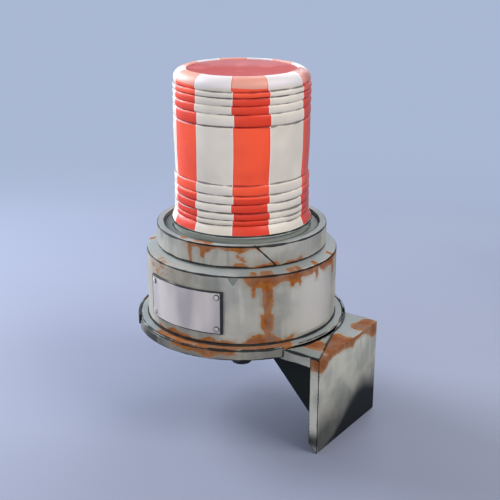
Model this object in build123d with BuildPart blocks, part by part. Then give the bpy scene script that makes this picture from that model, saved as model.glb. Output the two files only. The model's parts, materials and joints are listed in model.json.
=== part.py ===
"""Bracket-mounted warning beacon for a traffic barrier, millimetres, +Z up.

The origin is the centre of the bracket's wall face, which looks along +X.
The lamp stands on the bracket arm, its upright axis one reach back from that face.
Heights inside the lamp are measured from the top of the base pan, the seat.
"""
from build123d import *
from math import acos, asin, cos, degrees, pi, radians, sin, sqrt, tan
import os

os.makedirs("parts", exist_ok=True)

# ---------------------------------------------------------------- driving sizes
# Bracket, welded from 10 mm plate
reach = 130.0                  # wall face to lamp axis
bracket_width = 115.0
bracket_height = 100.0
plate_thickness = 10.0
wall_bevel = 9.0               # bevel along the wall plate's lower inner edge
arm_end = 25.0                 # arm's free end, from the lamp axis
arm_bolt_inset = 13.0
arm_bolt_pitch = 34.0
arm_bolt_gauge = 72.0
gusset_spacing = 44.0
gusset_thickness = 8.0
gusset_arm_margin = 21.0         # arm left bare beyond the gusset
gusset_wall_margin = 10.0
gusset_nose = 6.0
corner_plate_thickness = 1.6

# Base pan and rim
pan_ledge = 7.9                # pan beyond the drum
pan_sheet = 3.5
pan_skirt_wall = 3.0
pan_depth = 10.2
rim_band_thickness = 3.0
rim_corner_radius = 3.0
rim_front_start = -126.7       # degrees round the lamp axis from +X
rim_gap_angle = 7.0            # open joint between the two rim bands

# Drum
drum_radius = 97.5
drum_wall = 3.0
drum_height = 71.5
shoulder_rise = 4.0
shoulder_width = 15.0
neck_rise = 8.9
neck_lip = 8.5
gasket_thickness = 1.5
gasket_width = 4.5
lug_radius = 7.0
lug_height = 16.0

# Nameplate
nameplate_angle = -91.2
nameplate_span = 52.0
nameplate_low = 12.3
nameplate_height = 43.4
nameplate_thickness = 2.5
nameplate_corner = 1.5
rivet_angle = 22.6
rivet_inset = 5.4
rivet_radius = 1.6
rivet_head_radius = 2.9
rivet_head_height = 1.5

# Lens and its retaining collar
collar_wall = 3.5
collar_step_width = 7.5
collar_step_depth = 3.3
collar_lip = 2.0
collar_edge = 1.2
seam_angle = -39.1
seam_half_width = 11.0
seam_width = 0.9
seam_depth = 1.0
lens_groove_radius = 66.3
lens_rib_bulge = 1.4
lens_waist_depth = 0.3
lens_wall = 3.5
lens_skirt_flare = 4.3
lens_neck_flare = 2.7
lens_flange_inset = 1.5
lens_flange_thickness = 4.5
lens_gasket_thickness = 3.0
lens_stand_off = 4.7            # skirt above the collar
lens_height = 149.8
lower_groove_rises = (8.7, 13.9, 20.9, 29.5, 38.1, 48.5)      # above the skirt
upper_groove_drops = (44.4, 33.5, 25.4, 18.0, 12.4, 7.0)      # below the lens top
lens_shoulder = 8.3
lens_rim_width = 3.8
cap_recess = 3.0
cap_thickness = 2.8
cap_ledge = 5.0
cap_dish = 3.0
foot_ring_height = 3.0
foot_ring_lip = 0.8

# Drive and light
chassis_drop = 9.5             # below the drum's shoulder
chassis_thickness = 2.0
chassis_margin = 6.5
pillar_inset = 12.0
pillar_radius = 4.6
spindle_radius = 8.0
spindle_bore = 4.0
spindle_length = 54.0
spindle_flange_radius = 15.0
spindle_flange_thickness = 3.0
gear_module = 1.25
rotor_teeth = 64
pinion_teeth = 16
gear_rise = 6.0
gear_thickness = 8.0
gear_hub_radius = 15.0
gear_hub_height = 20.0
bush_wall = 2.5
motor_radius = 17.0
motor_length = 41.0
motor_shaft_radius = 3.0
focus_rise = 25.0              # above the lamp holder
reflector_focus = 18.0
reflector_radius = 47.0
reflector_sheet = 1.5
reflector_slot = 17.0
strap_width = 16.0
strap_thickness = 2.0
holder_radius = 11.0
holder_height = 22.0
bulb_cap_radius = 9.0
bulb_cap_height = 10.0
bulb_radius = 13.0

# Cable gland
gland_thread = 10.0
gland_hex = 15.6
gland_washer_thickness = 1.5
gland_body_height = 14.0
gland_nut_radius = 14.4
gland_nut_length = 43.0
gland_mouth = 5.5
gland_mouth_length = 8.0
gland_mouth_wall = 5.0
cable_radius = 4.5

# Electrics on the pan floor
converter_size = (56.0, 36.0, 34.0)
converter_y = 50.0
terminal_size = (46.0, 20.0, 18.0)
terminal_y = -50.0
ear_length = 10.0
ear_thickness = 3.0
lead_radius = 1.5

# Fasteners
m8_shank = 4.0
m8_hex = 7.5
m8_head = 5.3
m8_nut = 6.8
m8_washer_radius = 8.0
washer_thickness = 1.6
m6_shank = 3.0
m6_hex = 5.8
m6_head = 4.0
m4_shank = 2.0
m4_head_radius = 3.8
m4_head = 2.6
m5_shank = 2.5
m5_hex = 4.6
m5_nut = 4.0

# Clearances
thread_gap = 0.05
hole_gap = 0.5
running_gap = 0.05
seat_gap = 0.3
slide_gap = 0.5

# ---------------------------------------------------------------- derived sizes
arm_top = bracket_height / 2
seat_z = arm_top + pan_sheet
lamp_x = -reach
arm_length = reach - arm_end - plate_thickness
gusset_arm_leg = arm_length - gusset_arm_margin
gusset_wall_leg = bracket_height - plate_thickness - gusset_wall_margin
arm_underside = -pan_sheet - plate_thickness
arm_bolts = [
    (arm_end + arm_bolt_inset + step * arm_bolt_pitch, side_sign * arm_bolt_gauge / 2)
    for step in (0, 1)
    for side_sign in (-1, 1)
]

pan_radius = drum_radius + pan_ledge
rim_radius = pan_radius + rim_band_thickness
gasket_top = gasket_thickness
drum_bore = drum_radius - drum_wall
shoulder_top = drum_height + shoulder_rise
neck_radius = drum_radius - shoulder_width
neck_bore = neck_radius - neck_lip
neck_height = shoulder_top + neck_rise
nameplate_high = nameplate_low + nameplate_height

lens_gasket_low = neck_height + seat_gap
flange_bottom = lens_gasket_low + lens_gasket_thickness + seat_gap
flange_top = flange_bottom + lens_flange_thickness
collar_ledge = flange_top + collar_lip
collar_bottom = shoulder_top + seat_gap
collar_top = collar_ledge + collar_step_depth
collar_height = collar_top - collar_bottom
collar_bore = neck_radius + slide_gap
collar_radius = collar_bore + collar_wall
collar_step_radius = collar_radius - collar_step_width

lens_waist_radius = lens_groove_radius - lens_waist_depth
lens_skirt_radius = lens_groove_radius + lens_skirt_flare
lens_neck_radius = lens_groove_radius + lens_neck_flare
lens_flange_radius = neck_radius - lens_flange_inset
lens_rim_outer = lens_groove_radius - lens_shoulder
lens_rim_inner = lens_rim_outer - lens_rim_width
lens_bore = lens_waist_radius - lens_wall
foot_ring_radius = lens_skirt_radius + foot_ring_lip
lens_skirt_bottom = collar_top + lens_stand_off
lens_top = lens_skirt_bottom + lens_height
lower_grooves = [lens_skirt_bottom + rise for rise in lower_groove_rises]
upper_grooves = [lens_top - drop for drop in upper_groove_drops]
cap_top = lens_top - cap_recess
cap_seat = cap_top - cap_thickness
lens_axis = Axis((lamp_x, 0, seat_z), (0, 0, 1))

chassis_radius = drum_bore - chassis_margin
chassis_height = drum_height - chassis_drop
chassis_top = chassis_height + chassis_thickness
pillar_circle = chassis_radius - pillar_inset
spindle_top = chassis_top + spindle_length
holder_top = spindle_top + holder_height
focus_height = holder_top + focus_rise
gear_low = chassis_top + gear_rise
gear_hub_top = gear_low + gear_hub_height
rotor_pitch = gear_module * rotor_teeth / 2
pinion_pitch = gear_module * pinion_teeth / 2
pinion_x = -(rotor_pitch + pinion_pitch)
bush_radius = spindle_radius + running_gap + bush_wall
bush_low = chassis_top + spindle_flange_thickness + seat_gap

section = Plane(origin=(lamp_x, 0, seat_z), x_dir=(1, 0, 0), z_dir=(0, -1, 0))


def level(height, x=0.0, y=0.0):
    """Horizontal plane at a height above the seat, centred x, y from the lamp axis."""
    return Plane((lamp_x + x, y, seat_z + height))


def side(angle, radius, height):
    """Upright plane facing outwards at an angle round the lamp axis."""
    a = radians(angle)
    origin = (lamp_x + radius * cos(a), radius * sin(a), seat_z + height)
    return Plane(origin=origin, x_dir=(-sin(a), cos(a), 0), z_dir=(cos(a), sin(a), 0))


def write(piece, label):
    """Label a finished piece and write it as its own STEP file."""
    piece.part.label = label
    export_step(piece.part, f"parts/{label}.step")


def arc_sector(inner, outer, start, end):
    """Closed ring sector between two radii and two angles, for use inside a sketch."""
    with BuildLine() as outline:
        CenterArc((0, 0), inner, start, end - start)
        CenterArc((0, 0), outer, start, end - start)
        Line(radial_point(inner, start), radial_point(outer, start))
        Line(radial_point(inner, end), radial_point(outer, end))
    make_face(outline.edges())


def radial_point(radius, angle):
    return (radius * cos(radians(angle)), radius * sin(radians(angle)))


# ---------------------------------------------------------------- bracket
with BuildPart() as bracket_wall_plate:
    with BuildSketch(Plane.XZ.offset(-bracket_width / 2)):
        with BuildLine():
            Polyline(
                (0, -bracket_height / 2),
                (0, arm_top),
                (-plate_thickness, arm_top),
                (-plate_thickness, -bracket_height / 2 + wall_bevel),
                (-1, -bracket_height / 2),
                close=True,
            )
        make_face()
    extrude(amount=bracket_width)
write(bracket_wall_plate, "bracket_wall_plate")

with BuildPart() as bracket_arm_plate:
    with BuildSketch(level(-pan_sheet)):
        with Locations((arm_end + arm_length / 2, 0)):
            Rectangle(arm_length, bracket_width)
        with Locations(*arm_bolts):
            Circle(m8_shank + hole_gap, mode=Mode.SUBTRACT)
    extrude(amount=-plate_thickness)
write(bracket_arm_plate, "bracket_arm_plate")

with BuildPart() as bracket_gussets:
    for gusset_y in (-gusset_spacing / 2, gusset_spacing / 2):
        with BuildSketch(Plane.XZ.offset(-gusset_y - gusset_thickness / 2)):
            with BuildLine():
                Polyline(
                    (-plate_thickness, arm_top - plate_thickness),
                    (-plate_thickness - gusset_arm_leg, arm_top - plate_thickness),
                    (-plate_thickness - gusset_arm_leg, arm_top - plate_thickness - gusset_nose),
                    (-plate_thickness - gusset_nose, arm_top - plate_thickness - gusset_wall_leg),
                    (-plate_thickness, arm_top - plate_thickness - gusset_wall_leg),
                    close=True,
                )
            make_face()
        extrude(amount=gusset_thickness)
write(bracket_gussets, "bracket_gussets")

corner_inner_x = sqrt((rim_radius + seat_gap) ** 2 - (bracket_width / 2) ** 2)
with BuildPart() as bracket_corner_plate:
    with BuildSketch(level(-pan_sheet)):
        with BuildLine():
            Polyline(
                (0, -bracket_width / 2),
                (reach, -bracket_width / 2),
                (corner_inner_x, bracket_width / 2),
                close=True,
            )
        make_face()
        Circle(rim_radius + seat_gap, mode=Mode.SUBTRACT)
    extrude(amount=corner_plate_thickness)
write(bracket_corner_plate, "bracket_corner_plate")

with BuildPart() as bracket_bolts:
    with BuildSketch(level(arm_underside - washer_thickness)):
        with Locations(*arm_bolts):
            RegularPolygon(m8_hex, 6)
    extrude(amount=-m8_head)
    with BuildSketch(level(arm_underside - washer_thickness)):
        with Locations(*arm_bolts):
            Circle(m8_shank)
    extrude(amount=plate_thickness + pan_sheet + washer_thickness + m8_nut + 2)
write(bracket_bolts, "bracket_bolts")

with BuildPart() as bracket_washers:
    with BuildSketch(level(arm_underside)):
        with Locations(*arm_bolts):
            Circle(m8_washer_radius)
            Circle(m8_shank + hole_gap, mode=Mode.SUBTRACT)
    extrude(amount=-washer_thickness)
write(bracket_washers, "bracket_washers")

with BuildPart() as bracket_nuts:
    with BuildSketch(level(0)):
        with Locations(*arm_bolts):
            RegularPolygon(m8_hex, 6)
            Circle(m8_shank + thread_gap, mode=Mode.SUBTRACT)
    extrude(amount=m8_nut)
write(bracket_nuts, "bracket_nuts")

# ---------------------------------------------------------------- base pan and rim
lug_circle = drum_bore - lug_radius + 1.0
lug_places = [radial_point(lug_circle, angle) for angle in (60, 180, 300)]
pillar_places = [radial_point(pillar_circle, angle) for angle in (0, 120, 240)]
notch_width = bracket_width + 2 * seat_gap

with BuildPart() as base_pan:
    with BuildSketch(level(-pan_depth)):
        Circle(pan_radius)
    extrude(amount=pan_depth)
    fillet(base_pan.edges().group_by(Axis.Z)[-1], 1.0)
    with BuildSketch(level(-pan_depth)):
        Circle(pan_radius - pan_skirt_wall)
    extrude(amount=pan_depth - pan_sheet, mode=Mode.SUBTRACT)
    with BuildSketch(level(-pan_depth)):
        with Locations((pan_radius, 0)):
            Rectangle(2 * pan_radius, notch_width)
    extrude(amount=pan_depth - pan_sheet, mode=Mode.SUBTRACT)
    with BuildSketch(level(-pan_sheet)):
        Circle(gland_thread + hole_gap)
        with Locations(*arm_bolts):
            Circle(m8_shank + hole_gap)
        with Locations(*lug_places):
            Circle(m6_shank + hole_gap)
    extrude(amount=pan_sheet, mode=Mode.SUBTRACT)
write(base_pan, "base_pan")

arm_edge_angle = degrees(asin(notch_width / 2 / pan_radius))
rim_spans = {
    "rim_band_front": (rim_front_start, -arm_edge_angle),
    "rim_band_rear": (arm_edge_angle, 360 + rim_front_start - rim_gap_angle),
}
for rim_name, (rim_start, rim_end) in rim_spans.items():
    with BuildPart() as rim_band:
        with BuildSketch(level(-pan_depth)):
            arc_sector(pan_radius, rim_radius, rim_start, rim_end)
        extrude(amount=pan_depth)
        end_edges = rim_band.edges().filter_by(GeomType.LINE).filter_by(Axis.Z, reverse=True)
        fillet(end_edges, rim_corner_radius)
    write(rim_band, rim_name)

with BuildPart() as base_gasket:
    with BuildSketch(level(0)):
        Circle(drum_radius)
        Circle(drum_radius - gasket_width, mode=Mode.SUBTRACT)
    extrude(amount=gasket_thickness)
write(base_gasket, "base_gasket")

# ---------------------------------------------------------------- drum
nameplate_mid = (nameplate_low + nameplate_high) / 2
rivet_rise = (nameplate_high - nameplate_low) / 2 - rivet_inset
rivet_planes = [
    (nameplate_angle + turn * rivet_angle, nameplate_mid + lift * rivet_rise)
    for turn in (-1, 1)
    for lift in (-1, 1)
]

with BuildPart() as drum_shell:
    with BuildSketch(section):
        with BuildLine():
            Polyline(
                (drum_radius, gasket_top),
                (drum_radius, drum_height),
                (neck_radius, shoulder_top),
                (neck_radius, neck_height),
                (neck_bore, neck_height),
                (neck_bore, neck_height - drum_wall),
                (neck_radius - drum_wall, neck_height - drum_wall),
                (neck_radius - drum_wall, shoulder_top - drum_wall),
                (drum_bore, drum_height - drum_wall),
                (drum_bore, gasket_top),
                close=True,
            )
        make_face()
    revolve(axis=lens_axis)
    rolled_edge = drum_shell.edges().filter_by(GeomType.CIRCLE).sort_by(SortBy.RADIUS)
    fillet(rolled_edge.filter_by_position(Axis.Z, seat_z + drum_height - 1, seat_z + drum_height + 1)[-1], 1.2)
    with BuildSketch(level(gasket_top)):
        with Locations(*lug_places):
            Circle(lug_radius)
    extrude(amount=lug_height)
    with BuildSketch(level(gasket_top)):
        with Locations(*lug_places):
            Circle(m6_shank + thread_gap)
    extrude(amount=lug_height - 2, mode=Mode.SUBTRACT)
    for angle, height in rivet_planes:
        with BuildSketch(side(angle, drum_radius - 2 * drum_wall, height)):
            Circle(rivet_radius + thread_gap)
        extrude(amount=3 * drum_wall, mode=Mode.SUBTRACT)
write(drum_shell, "drum_shell")

with BuildPart() as drum_screws:
    with BuildSketch(level(-pan_sheet)):
        with Locations(*lug_places):
            RegularPolygon(m6_hex, 6)
    extrude(amount=-m6_head)
    with BuildSketch(level(-pan_sheet)):
        with Locations(*lug_places):
            Circle(m6_shank)
    extrude(amount=pan_sheet + gasket_top + lug_height - 4)
write(drum_screws, "drum_screws")

plate_start = nameplate_angle - nameplate_span / 2
plate_end = nameplate_angle + nameplate_span / 2
with BuildPart() as nameplate:
    with BuildSketch(level(nameplate_low)):
        arc_sector(drum_radius, drum_radius + nameplate_thickness, plate_start, plate_end)
    extrude(amount=nameplate_high - nameplate_low)
    plate_corners = nameplate.edges().filter_by(GeomType.LINE).filter_by(Axis.Z, reverse=True)
    fillet(plate_corners, nameplate_corner)
    for angle, height in rivet_planes:
        with BuildSketch(side(angle, drum_radius - drum_wall, height)):
            Circle(rivet_radius + thread_gap)
        extrude(amount=drum_wall + 2 * nameplate_thickness, mode=Mode.SUBTRACT)
write(nameplate, "nameplate")

head_seat = drum_radius + nameplate_thickness
tail_seat = drum_bore * cos(asin(rivet_head_radius / drum_bore))
with BuildPart() as nameplate_rivets:
    for angle, height in rivet_planes:
        with BuildSketch(side(angle, tail_seat - rivet_head_height, height)):
            Circle(rivet_radius)
        extrude(amount=head_seat - tail_seat + 2 * rivet_head_height)
        with BuildSketch(side(angle, head_seat, height)):
            Circle(rivet_head_radius)
        extrude(amount=rivet_head_height, taper=28)
        with BuildSketch(side(angle, tail_seat, height)):
            Circle(rivet_head_radius)
        extrude(amount=-rivet_head_height, taper=28)
write(nameplate_rivets, "nameplate_rivets")

# ---------------------------------------------------------------- cable gland
gland_top = -pan_sheet - gland_washer_thickness
gland_joint = gland_top - gland_body_height
gland_bottom = gland_joint - gland_nut_length

with BuildPart() as gland_washer:
    with BuildSketch(level(-pan_sheet)):
        Circle(gland_nut_radius)
        Circle(gland_thread + thread_gap, mode=Mode.SUBTRACT)
    extrude(amount=-gland_washer_thickness)
write(gland_washer, "gland_washer")

locknut_height = 4.5
sleeve_wall = 2.2
insert_radius = gland_thread - sleeve_wall
insert_length = 26.0
with BuildPart() as gland_body:
    with BuildSketch(level(gland_top)):
        RegularPolygon(gland_hex, 6)
    extrude(amount=-gland_body_height)
    with BuildSketch(level(gland_joint - insert_length)):
        Circle(gland_thread)
    extrude(amount=insert_length + gland_body_height - gland_top + locknut_height + 1.5)
    with BuildSketch(level(gland_joint - insert_length)):
        Circle(insert_radius)
    extrude(amount=insert_length + gland_body_height - gland_top + locknut_height + 1.5, mode=Mode.SUBTRACT)
write(gland_body, "gland_body")

with BuildPart() as gland_locknut:
    with BuildSketch(level(0)):
        RegularPolygon(gland_hex, 6)
        Circle(gland_thread + thread_gap, mode=Mode.SUBTRACT)
    extrude(amount=locknut_height)
write(gland_locknut, "gland_locknut")

with BuildPart() as gland_insert:
    with BuildSketch(level(gland_joint - insert_length)):
        Circle(insert_radius - thread_gap)
        Circle(cable_radius, mode=Mode.SUBTRACT)
    extrude(amount=insert_length)
write(gland_insert, "gland_insert")

nut_hex_length = 20.0
nut_nose = gland_mouth + gland_mouth_wall
with BuildPart() as gland_nut:
    with BuildSketch(level(gland_joint - seat_gap)):
        RegularPolygon(gland_nut_radius, 8)
    extrude(amount=-nut_hex_length)
    with BuildSketch(section):
        with BuildLine():
            Polyline(
                (0, gland_joint - nut_hex_length),
                (gland_nut_radius - 1.2, gland_joint - nut_hex_length),
                (gland_nut_radius - 1.2, gland_bottom + gland_mouth_length),
                (nut_nose, gland_bottom),
                (0, gland_bottom),
                close=True,
            )
        make_face()
    revolve(axis=lens_axis)
    with BuildSketch(section):
        with BuildLine():
            Polyline(
                (0, gland_joint + 1),
                (gland_thread + thread_gap, gland_joint + 1),
                (gland_thread + thread_gap, gland_joint - insert_length - seat_gap),
                (gland_mouth, gland_joint - insert_length - gland_mouth_wall),
                (gland_mouth, gland_bottom - 1),
                (0, gland_bottom - 1),
                close=True,
            )
        make_face()
    revolve(axis=lens_axis, mode=Mode.SUBTRACT)
write(gland_nut, "gland_nut")

# ---------------------------------------------------------------- chassis
spindle_screw_circle = 11.5
spindle_screw_places = [radial_point(spindle_screw_circle, angle) for angle in (45, 135, 225, 315)]
small_screw_shank = 1.4
small_screw_head = 2.4
motor_screw_places = [(pinion_x, y) for y in (-12.5, 12.5)]

with BuildPart() as chassis_plate:
    with BuildSketch(level(chassis_height)):
        Circle(chassis_radius)
        Circle(spindle_bore + hole_gap, mode=Mode.SUBTRACT)
        with Locations(*pillar_places):
            Circle(m4_shank + hole_gap, mode=Mode.SUBTRACT)
        with Locations((pinion_x, 0)):
            Circle(motor_shaft_radius + hole_gap, mode=Mode.SUBTRACT)
        with Locations(*motor_screw_places, *spindle_screw_places):
            Circle(small_screw_shank + thread_gap, mode=Mode.SUBTRACT)
    extrude(amount=chassis_thickness)
write(chassis_plate, "chassis_plate")

with BuildPart() as chassis_pillars:
    with BuildSketch(level(0)):
        with Locations(*pillar_places):
            RegularPolygon(pillar_radius, 6)
    extrude(amount=chassis_height)
    with BuildSketch(level(chassis_height)):
        with Locations(*pillar_places):
            Circle(m4_shank + thread_gap)
    extrude(amount=-14, mode=Mode.SUBTRACT)
write(chassis_pillars, "chassis_pillars")

with BuildPart() as chassis_screws:
    with BuildSketch(level(chassis_top)):
        with Locations(*pillar_places):
            Circle(m4_head_radius)
    extrude(amount=m4_head, taper=20)
    with BuildSketch(level(chassis_top)):
        with Locations(*pillar_places):
            Circle(m4_shank)
    extrude(amount=-chassis_thickness - 12)
write(chassis_screws, "chassis_screws")

with BuildPart() as spindle:
    with BuildSketch(level(chassis_top)):
        Circle(spindle_flange_radius)
        with Locations(*spindle_screw_places):
            Circle(small_screw_shank + hole_gap / 2, mode=Mode.SUBTRACT)
    extrude(amount=spindle_flange_thickness)
    with BuildSketch(level(chassis_top)):
        Circle(spindle_radius)
    extrude(amount=spindle_top - chassis_top)
    with BuildSketch(level(chassis_top)):
        Circle(spindle_bore)
    extrude(amount=spindle_top - chassis_top, mode=Mode.SUBTRACT)
write(spindle, "spindle")

with BuildPart() as spindle_screws:
    with BuildSketch(level(chassis_height - 1.6)):
        with Locations(*spindle_screw_places):
            Circle(small_screw_head)
    extrude(amount=1.6)
    with BuildSketch(level(chassis_height)):
        with Locations(*spindle_screw_places):
            Circle(small_screw_shank)
    extrude(amount=chassis_thickness + spindle_flange_thickness - 0.2)
write(spindle_screws, "spindle_screws")

with BuildPart() as lamp_holder:
    with BuildSketch(level(spindle_top)):
        Circle(holder_radius)
    extrude(amount=holder_height)
    with BuildSketch(level(holder_top)):
        Circle(bulb_cap_radius + thread_gap)
    extrude(amount=-bulb_cap_height, mode=Mode.SUBTRACT)
    fillet(lamp_holder.edges().group_by(Axis.Z)[0], 1.5)
write(lamp_holder, "lamp_holder")

cap_floor = holder_top - bulb_cap_height
with BuildPart() as bulb_base:
    with BuildSketch(level(cap_floor)):
        Circle(bulb_cap_radius)
    extrude(amount=bulb_cap_height + 2)
write(bulb_base, "bulb_base")

bulb_foot = cap_floor + bulb_cap_height + 2
bulb_neck = 7.0
bulb_shoulder = focus_height - sqrt(bulb_radius ** 2 - bulb_neck ** 2)
with BuildPart() as bulb_glass:
    with BuildSketch(section):
        with BuildLine():
            Line((0, bulb_foot), (bulb_neck, bulb_foot))
            Line((bulb_neck, bulb_foot), (bulb_neck, bulb_shoulder))
            ThreePointArc(
                (bulb_neck, bulb_shoulder),
                (bulb_radius, focus_height),
                (0, focus_height + bulb_radius),
            )
            Line((0, focus_height + bulb_radius), (0, bulb_foot))
        make_face()
    revolve(axis=lens_axis)
write(bulb_glass, "bulb_glass")

# ---------------------------------------------------------------- gears and motor
pressure_angle = radians(20)
addendum = 0.8 * gear_module
dedendum = 1.12 * gear_module
tooth_thinning = 0.1


def involute(angle):
    return tan(angle) - angle


def tooth_outline(teeth, turn=0.0):
    """One involute tooth about the +X direction, turned by an angle in degrees."""
    pitch = gear_module * teeth / 2
    base = pitch * cos(pressure_angle)
    root = pitch - dedendum
    radii = [root - 0.3, max(base, root)]
    radii += [radii[1] + (pitch + addendum - radii[1]) * step / 4 for step in range(1, 5)]
    half = pi / (2 * teeth) - tooth_thinning / pitch + involute(pressure_angle)
    flank = [(r, half - involute(acos(min(1.0, base / max(r, base))))) for r in radii]
    outline = flank + [(r, -a) for r, a in reversed(flank)]
    return [radial_point(r, degrees(a) + turn) for r, a in outline]


def toothed_disc(teeth, turn=0.0):
    """Gear face for use inside a sketch: the root disc and one tooth, repeated."""
    with BuildSketch(mode=Mode.PRIVATE) as tooth:
        with BuildLine():
            Polyline(*tooth_outline(teeth, turn), close=True)
        make_face()
    Circle(gear_module * teeth / 2 - dedendum)
    with PolarLocations(0, teeth):
        add(tooth.sketch)


with BuildPart() as rotor_gear:
    with BuildSketch(level(gear_low)):
        toothed_disc(rotor_teeth)
        with PolarLocations(26, 6):
            Circle(6.5, mode=Mode.SUBTRACT)
    extrude(amount=gear_thickness)
    with BuildSketch(level(bush_low)):
        Circle(gear_hub_radius)
    extrude(amount=gear_hub_top - bush_low)
    with BuildSketch(level(bush_low)):
        Circle(bush_radius)
    extrude(amount=gear_hub_top - bush_low, mode=Mode.SUBTRACT)
write(rotor_gear, "rotor_gear")

with BuildPart() as rotor_bush:
    with BuildSketch(level(bush_low)):
        Circle(bush_radius - thread_gap)
        Circle(spindle_radius + running_gap, mode=Mode.SUBTRACT)
    extrude(amount=gear_hub_top + strap_thickness - bush_low)
write(rotor_bush, "rotor_bush")

shaft_low = chassis_height - 10
with BuildPart() as motor_pinion:
    with BuildSketch(level(gear_low, pinion_x)):
        toothed_disc(pinion_teeth, 180 / pinion_teeth)
        Circle(motor_shaft_radius + thread_gap, mode=Mode.SUBTRACT)
    extrude(amount=gear_thickness)
write(motor_pinion, "motor_pinion")

with BuildPart() as motor_shaft:
    with BuildSketch(level(shaft_low, pinion_x)):
        Circle(motor_shaft_radius)
    extrude(amount=gear_low + gear_thickness + 1 - shaft_low)
write(motor_shaft, "motor_shaft")

motor_low = chassis_height - motor_length
tag_height = chassis_height - motor_length / 2
tag_face = -motor_radius - 3
with BuildPart() as motor:
    with BuildSketch(level(motor_low, pinion_x)):
        Circle(motor_radius)
    extrude(amount=motor_length)
    fillet(motor.edges().group_by(Axis.Z)[0], 2.0)
    with BuildSketch(level(tag_height - 4, pinion_x)):
        with Locations((0, tag_face / 2)):
            Rectangle(8, -tag_face)
    extrude(amount=8)
    with BuildSketch(level(chassis_height, pinion_x)):
        Circle(motor_shaft_radius + running_gap)
    extrude(amount=-12, mode=Mode.SUBTRACT)
    with BuildSketch(level(chassis_height, pinion_x)):
        with Locations((0, -12.5), (0, 12.5)):
            Circle(small_screw_shank + thread_gap)
    extrude(amount=-7, mode=Mode.SUBTRACT)
write(motor, "motor")

with BuildPart() as motor_screws:
    with BuildSketch(level(chassis_top)):
        with Locations(*motor_screw_places):
            Circle(small_screw_head)
    extrude(amount=1.6)
    with BuildSketch(level(chassis_top)):
        with Locations(*motor_screw_places):
            Circle(small_screw_shank)
    extrude(amount=-chassis_thickness - 5)
write(motor_screws, "motor_screws")

# ---------------------------------------------------------------- reflector
reflector_depth = reflector_radius ** 2 / (4 * reflector_focus)
strap_x = -reflector_focus - reflector_sheet - strap_thickness
dish_plane = Plane(
    origin=(lamp_x - reflector_focus, 0, seat_z + focus_height), x_dir=(0, 0, 1), z_dir=(0, -1, 0)
)
dish_axis = Axis((lamp_x, 0, seat_z + focus_height), (1, 0, 0))


def parabola_point(radius, behind=0.0):
    """Point on the dish, radius out from its axis; the mouth looks along +X."""
    return (radius, radius ** 2 / (4 * reflector_focus) - behind)


with BuildPart() as reflector:
    with BuildSketch(dish_plane):
        with BuildLine():
            front = [parabola_point(reflector_radius * step / 8) for step in range(9)]
            back = [parabola_point(reflector_radius * step / 8, reflector_sheet) for step in range(9)]
            # The plane's own y runs backwards, so depths are negated.
            Spline(*[(r, -d) for r, d in front])
            Spline(*[(r, -d) for r, d in back])
            Line((0, 0), (0, reflector_sheet))
            Line((front[-1][0], -front[-1][1]), (back[-1][0], -back[-1][1]))
        make_face()
    revolve(axis=dish_axis)
    with BuildSketch(level(focus_height - reflector_radius - 5)):
        Circle(reflector_slot)
    extrude(amount=reflector_radius + 5, mode=Mode.SUBTRACT)
    with BuildSketch(Plane.YZ.offset(lamp_x + strap_x - 5)):
        with Locations((0, seat_z + focus_height)):
            Circle(m4_shank + thread_gap)
    extrude(amount=15, mode=Mode.SUBTRACT)
write(reflector, "reflector")

with BuildPart() as reflector_bracket:
    with BuildSketch(level(gear_hub_top)):
        Circle(gear_hub_radius + 6)
        with Locations((strap_x / 2, 0)):
            Rectangle(-strap_x, strap_width)
        Circle(bush_radius + thread_gap, mode=Mode.SUBTRACT)
    extrude(amount=strap_thickness)
    with BuildSketch(level(gear_hub_top)):
        with Locations((strap_x + strap_thickness / 2, 0)):
            Rectangle(strap_thickness, strap_width)
    extrude(amount=focus_height + 8 - gear_hub_top)
    with BuildSketch(Plane.YZ.offset(lamp_x + strap_x - 5)):
        with Locations((0, seat_z + focus_height)):
            Circle(m4_shank + thread_gap)
    extrude(amount=15, mode=Mode.SUBTRACT)
write(reflector_bracket, "reflector_bracket")

with BuildPart() as reflector_screw:
    with BuildSketch(Plane.YZ.offset(lamp_x + strap_x)):
        with Locations((0, seat_z + focus_height)):
            Circle(m4_head_radius)
    extrude(amount=-m4_head)
    with BuildSketch(Plane.YZ.offset(lamp_x + strap_x)):
        with Locations((0, seat_z + focus_height)):
            Circle(m4_shank)
    extrude(amount=strap_thickness + reflector_sheet)
write(reflector_screw, "reflector_screw")

# ---------------------------------------------------------------- electrics
def boxed_unit(size, y, height):
    """Rectangular case with a fixing ear at each end, standing on the pan floor."""
    with BuildSketch(level(0, 0, y)) as case:
        Rectangle(size[0], size[1])
    extrude(case.sketch, amount=height)
    with BuildSketch(level(0, 0, y)) as ears:
        Rectangle(size[0] + 2 * ear_length, ear_length)
        with Locations(*ear_places(size)):
            Circle(m4_shank + hole_gap, mode=Mode.SUBTRACT)
    extrude(ears.sketch, amount=ear_thickness)


def ear_places(size):
    return [(side_sign * (size[0] + ear_length) / 2, 0) for side_sign in (-1, 1)]


def ear_screws(size, y):
    """Pan-head screws that hold a unit's ears down."""
    with BuildSketch(level(ear_thickness, 0, y)) as heads:
        with Locations(*ear_places(size)):
            Circle(m4_head_radius)
    extrude(heads.sketch, amount=m4_head, taper=20)
    with BuildSketch(level(0.1, 0, y)) as shanks:
        with Locations(*ear_places(size)):
            Circle(m4_shank)
    extrude(shanks.sketch, amount=ear_thickness)


with BuildPart() as converter_box:
    boxed_unit(converter_size, converter_y, converter_size[2])
    fillet(converter_box.edges().group_by(Axis.Z)[-1], 2.0)
write(converter_box, "converter_box")

with BuildPart() as converter_screws:
    ear_screws(converter_size, converter_y)
write(converter_screws, "converter_screws")

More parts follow.
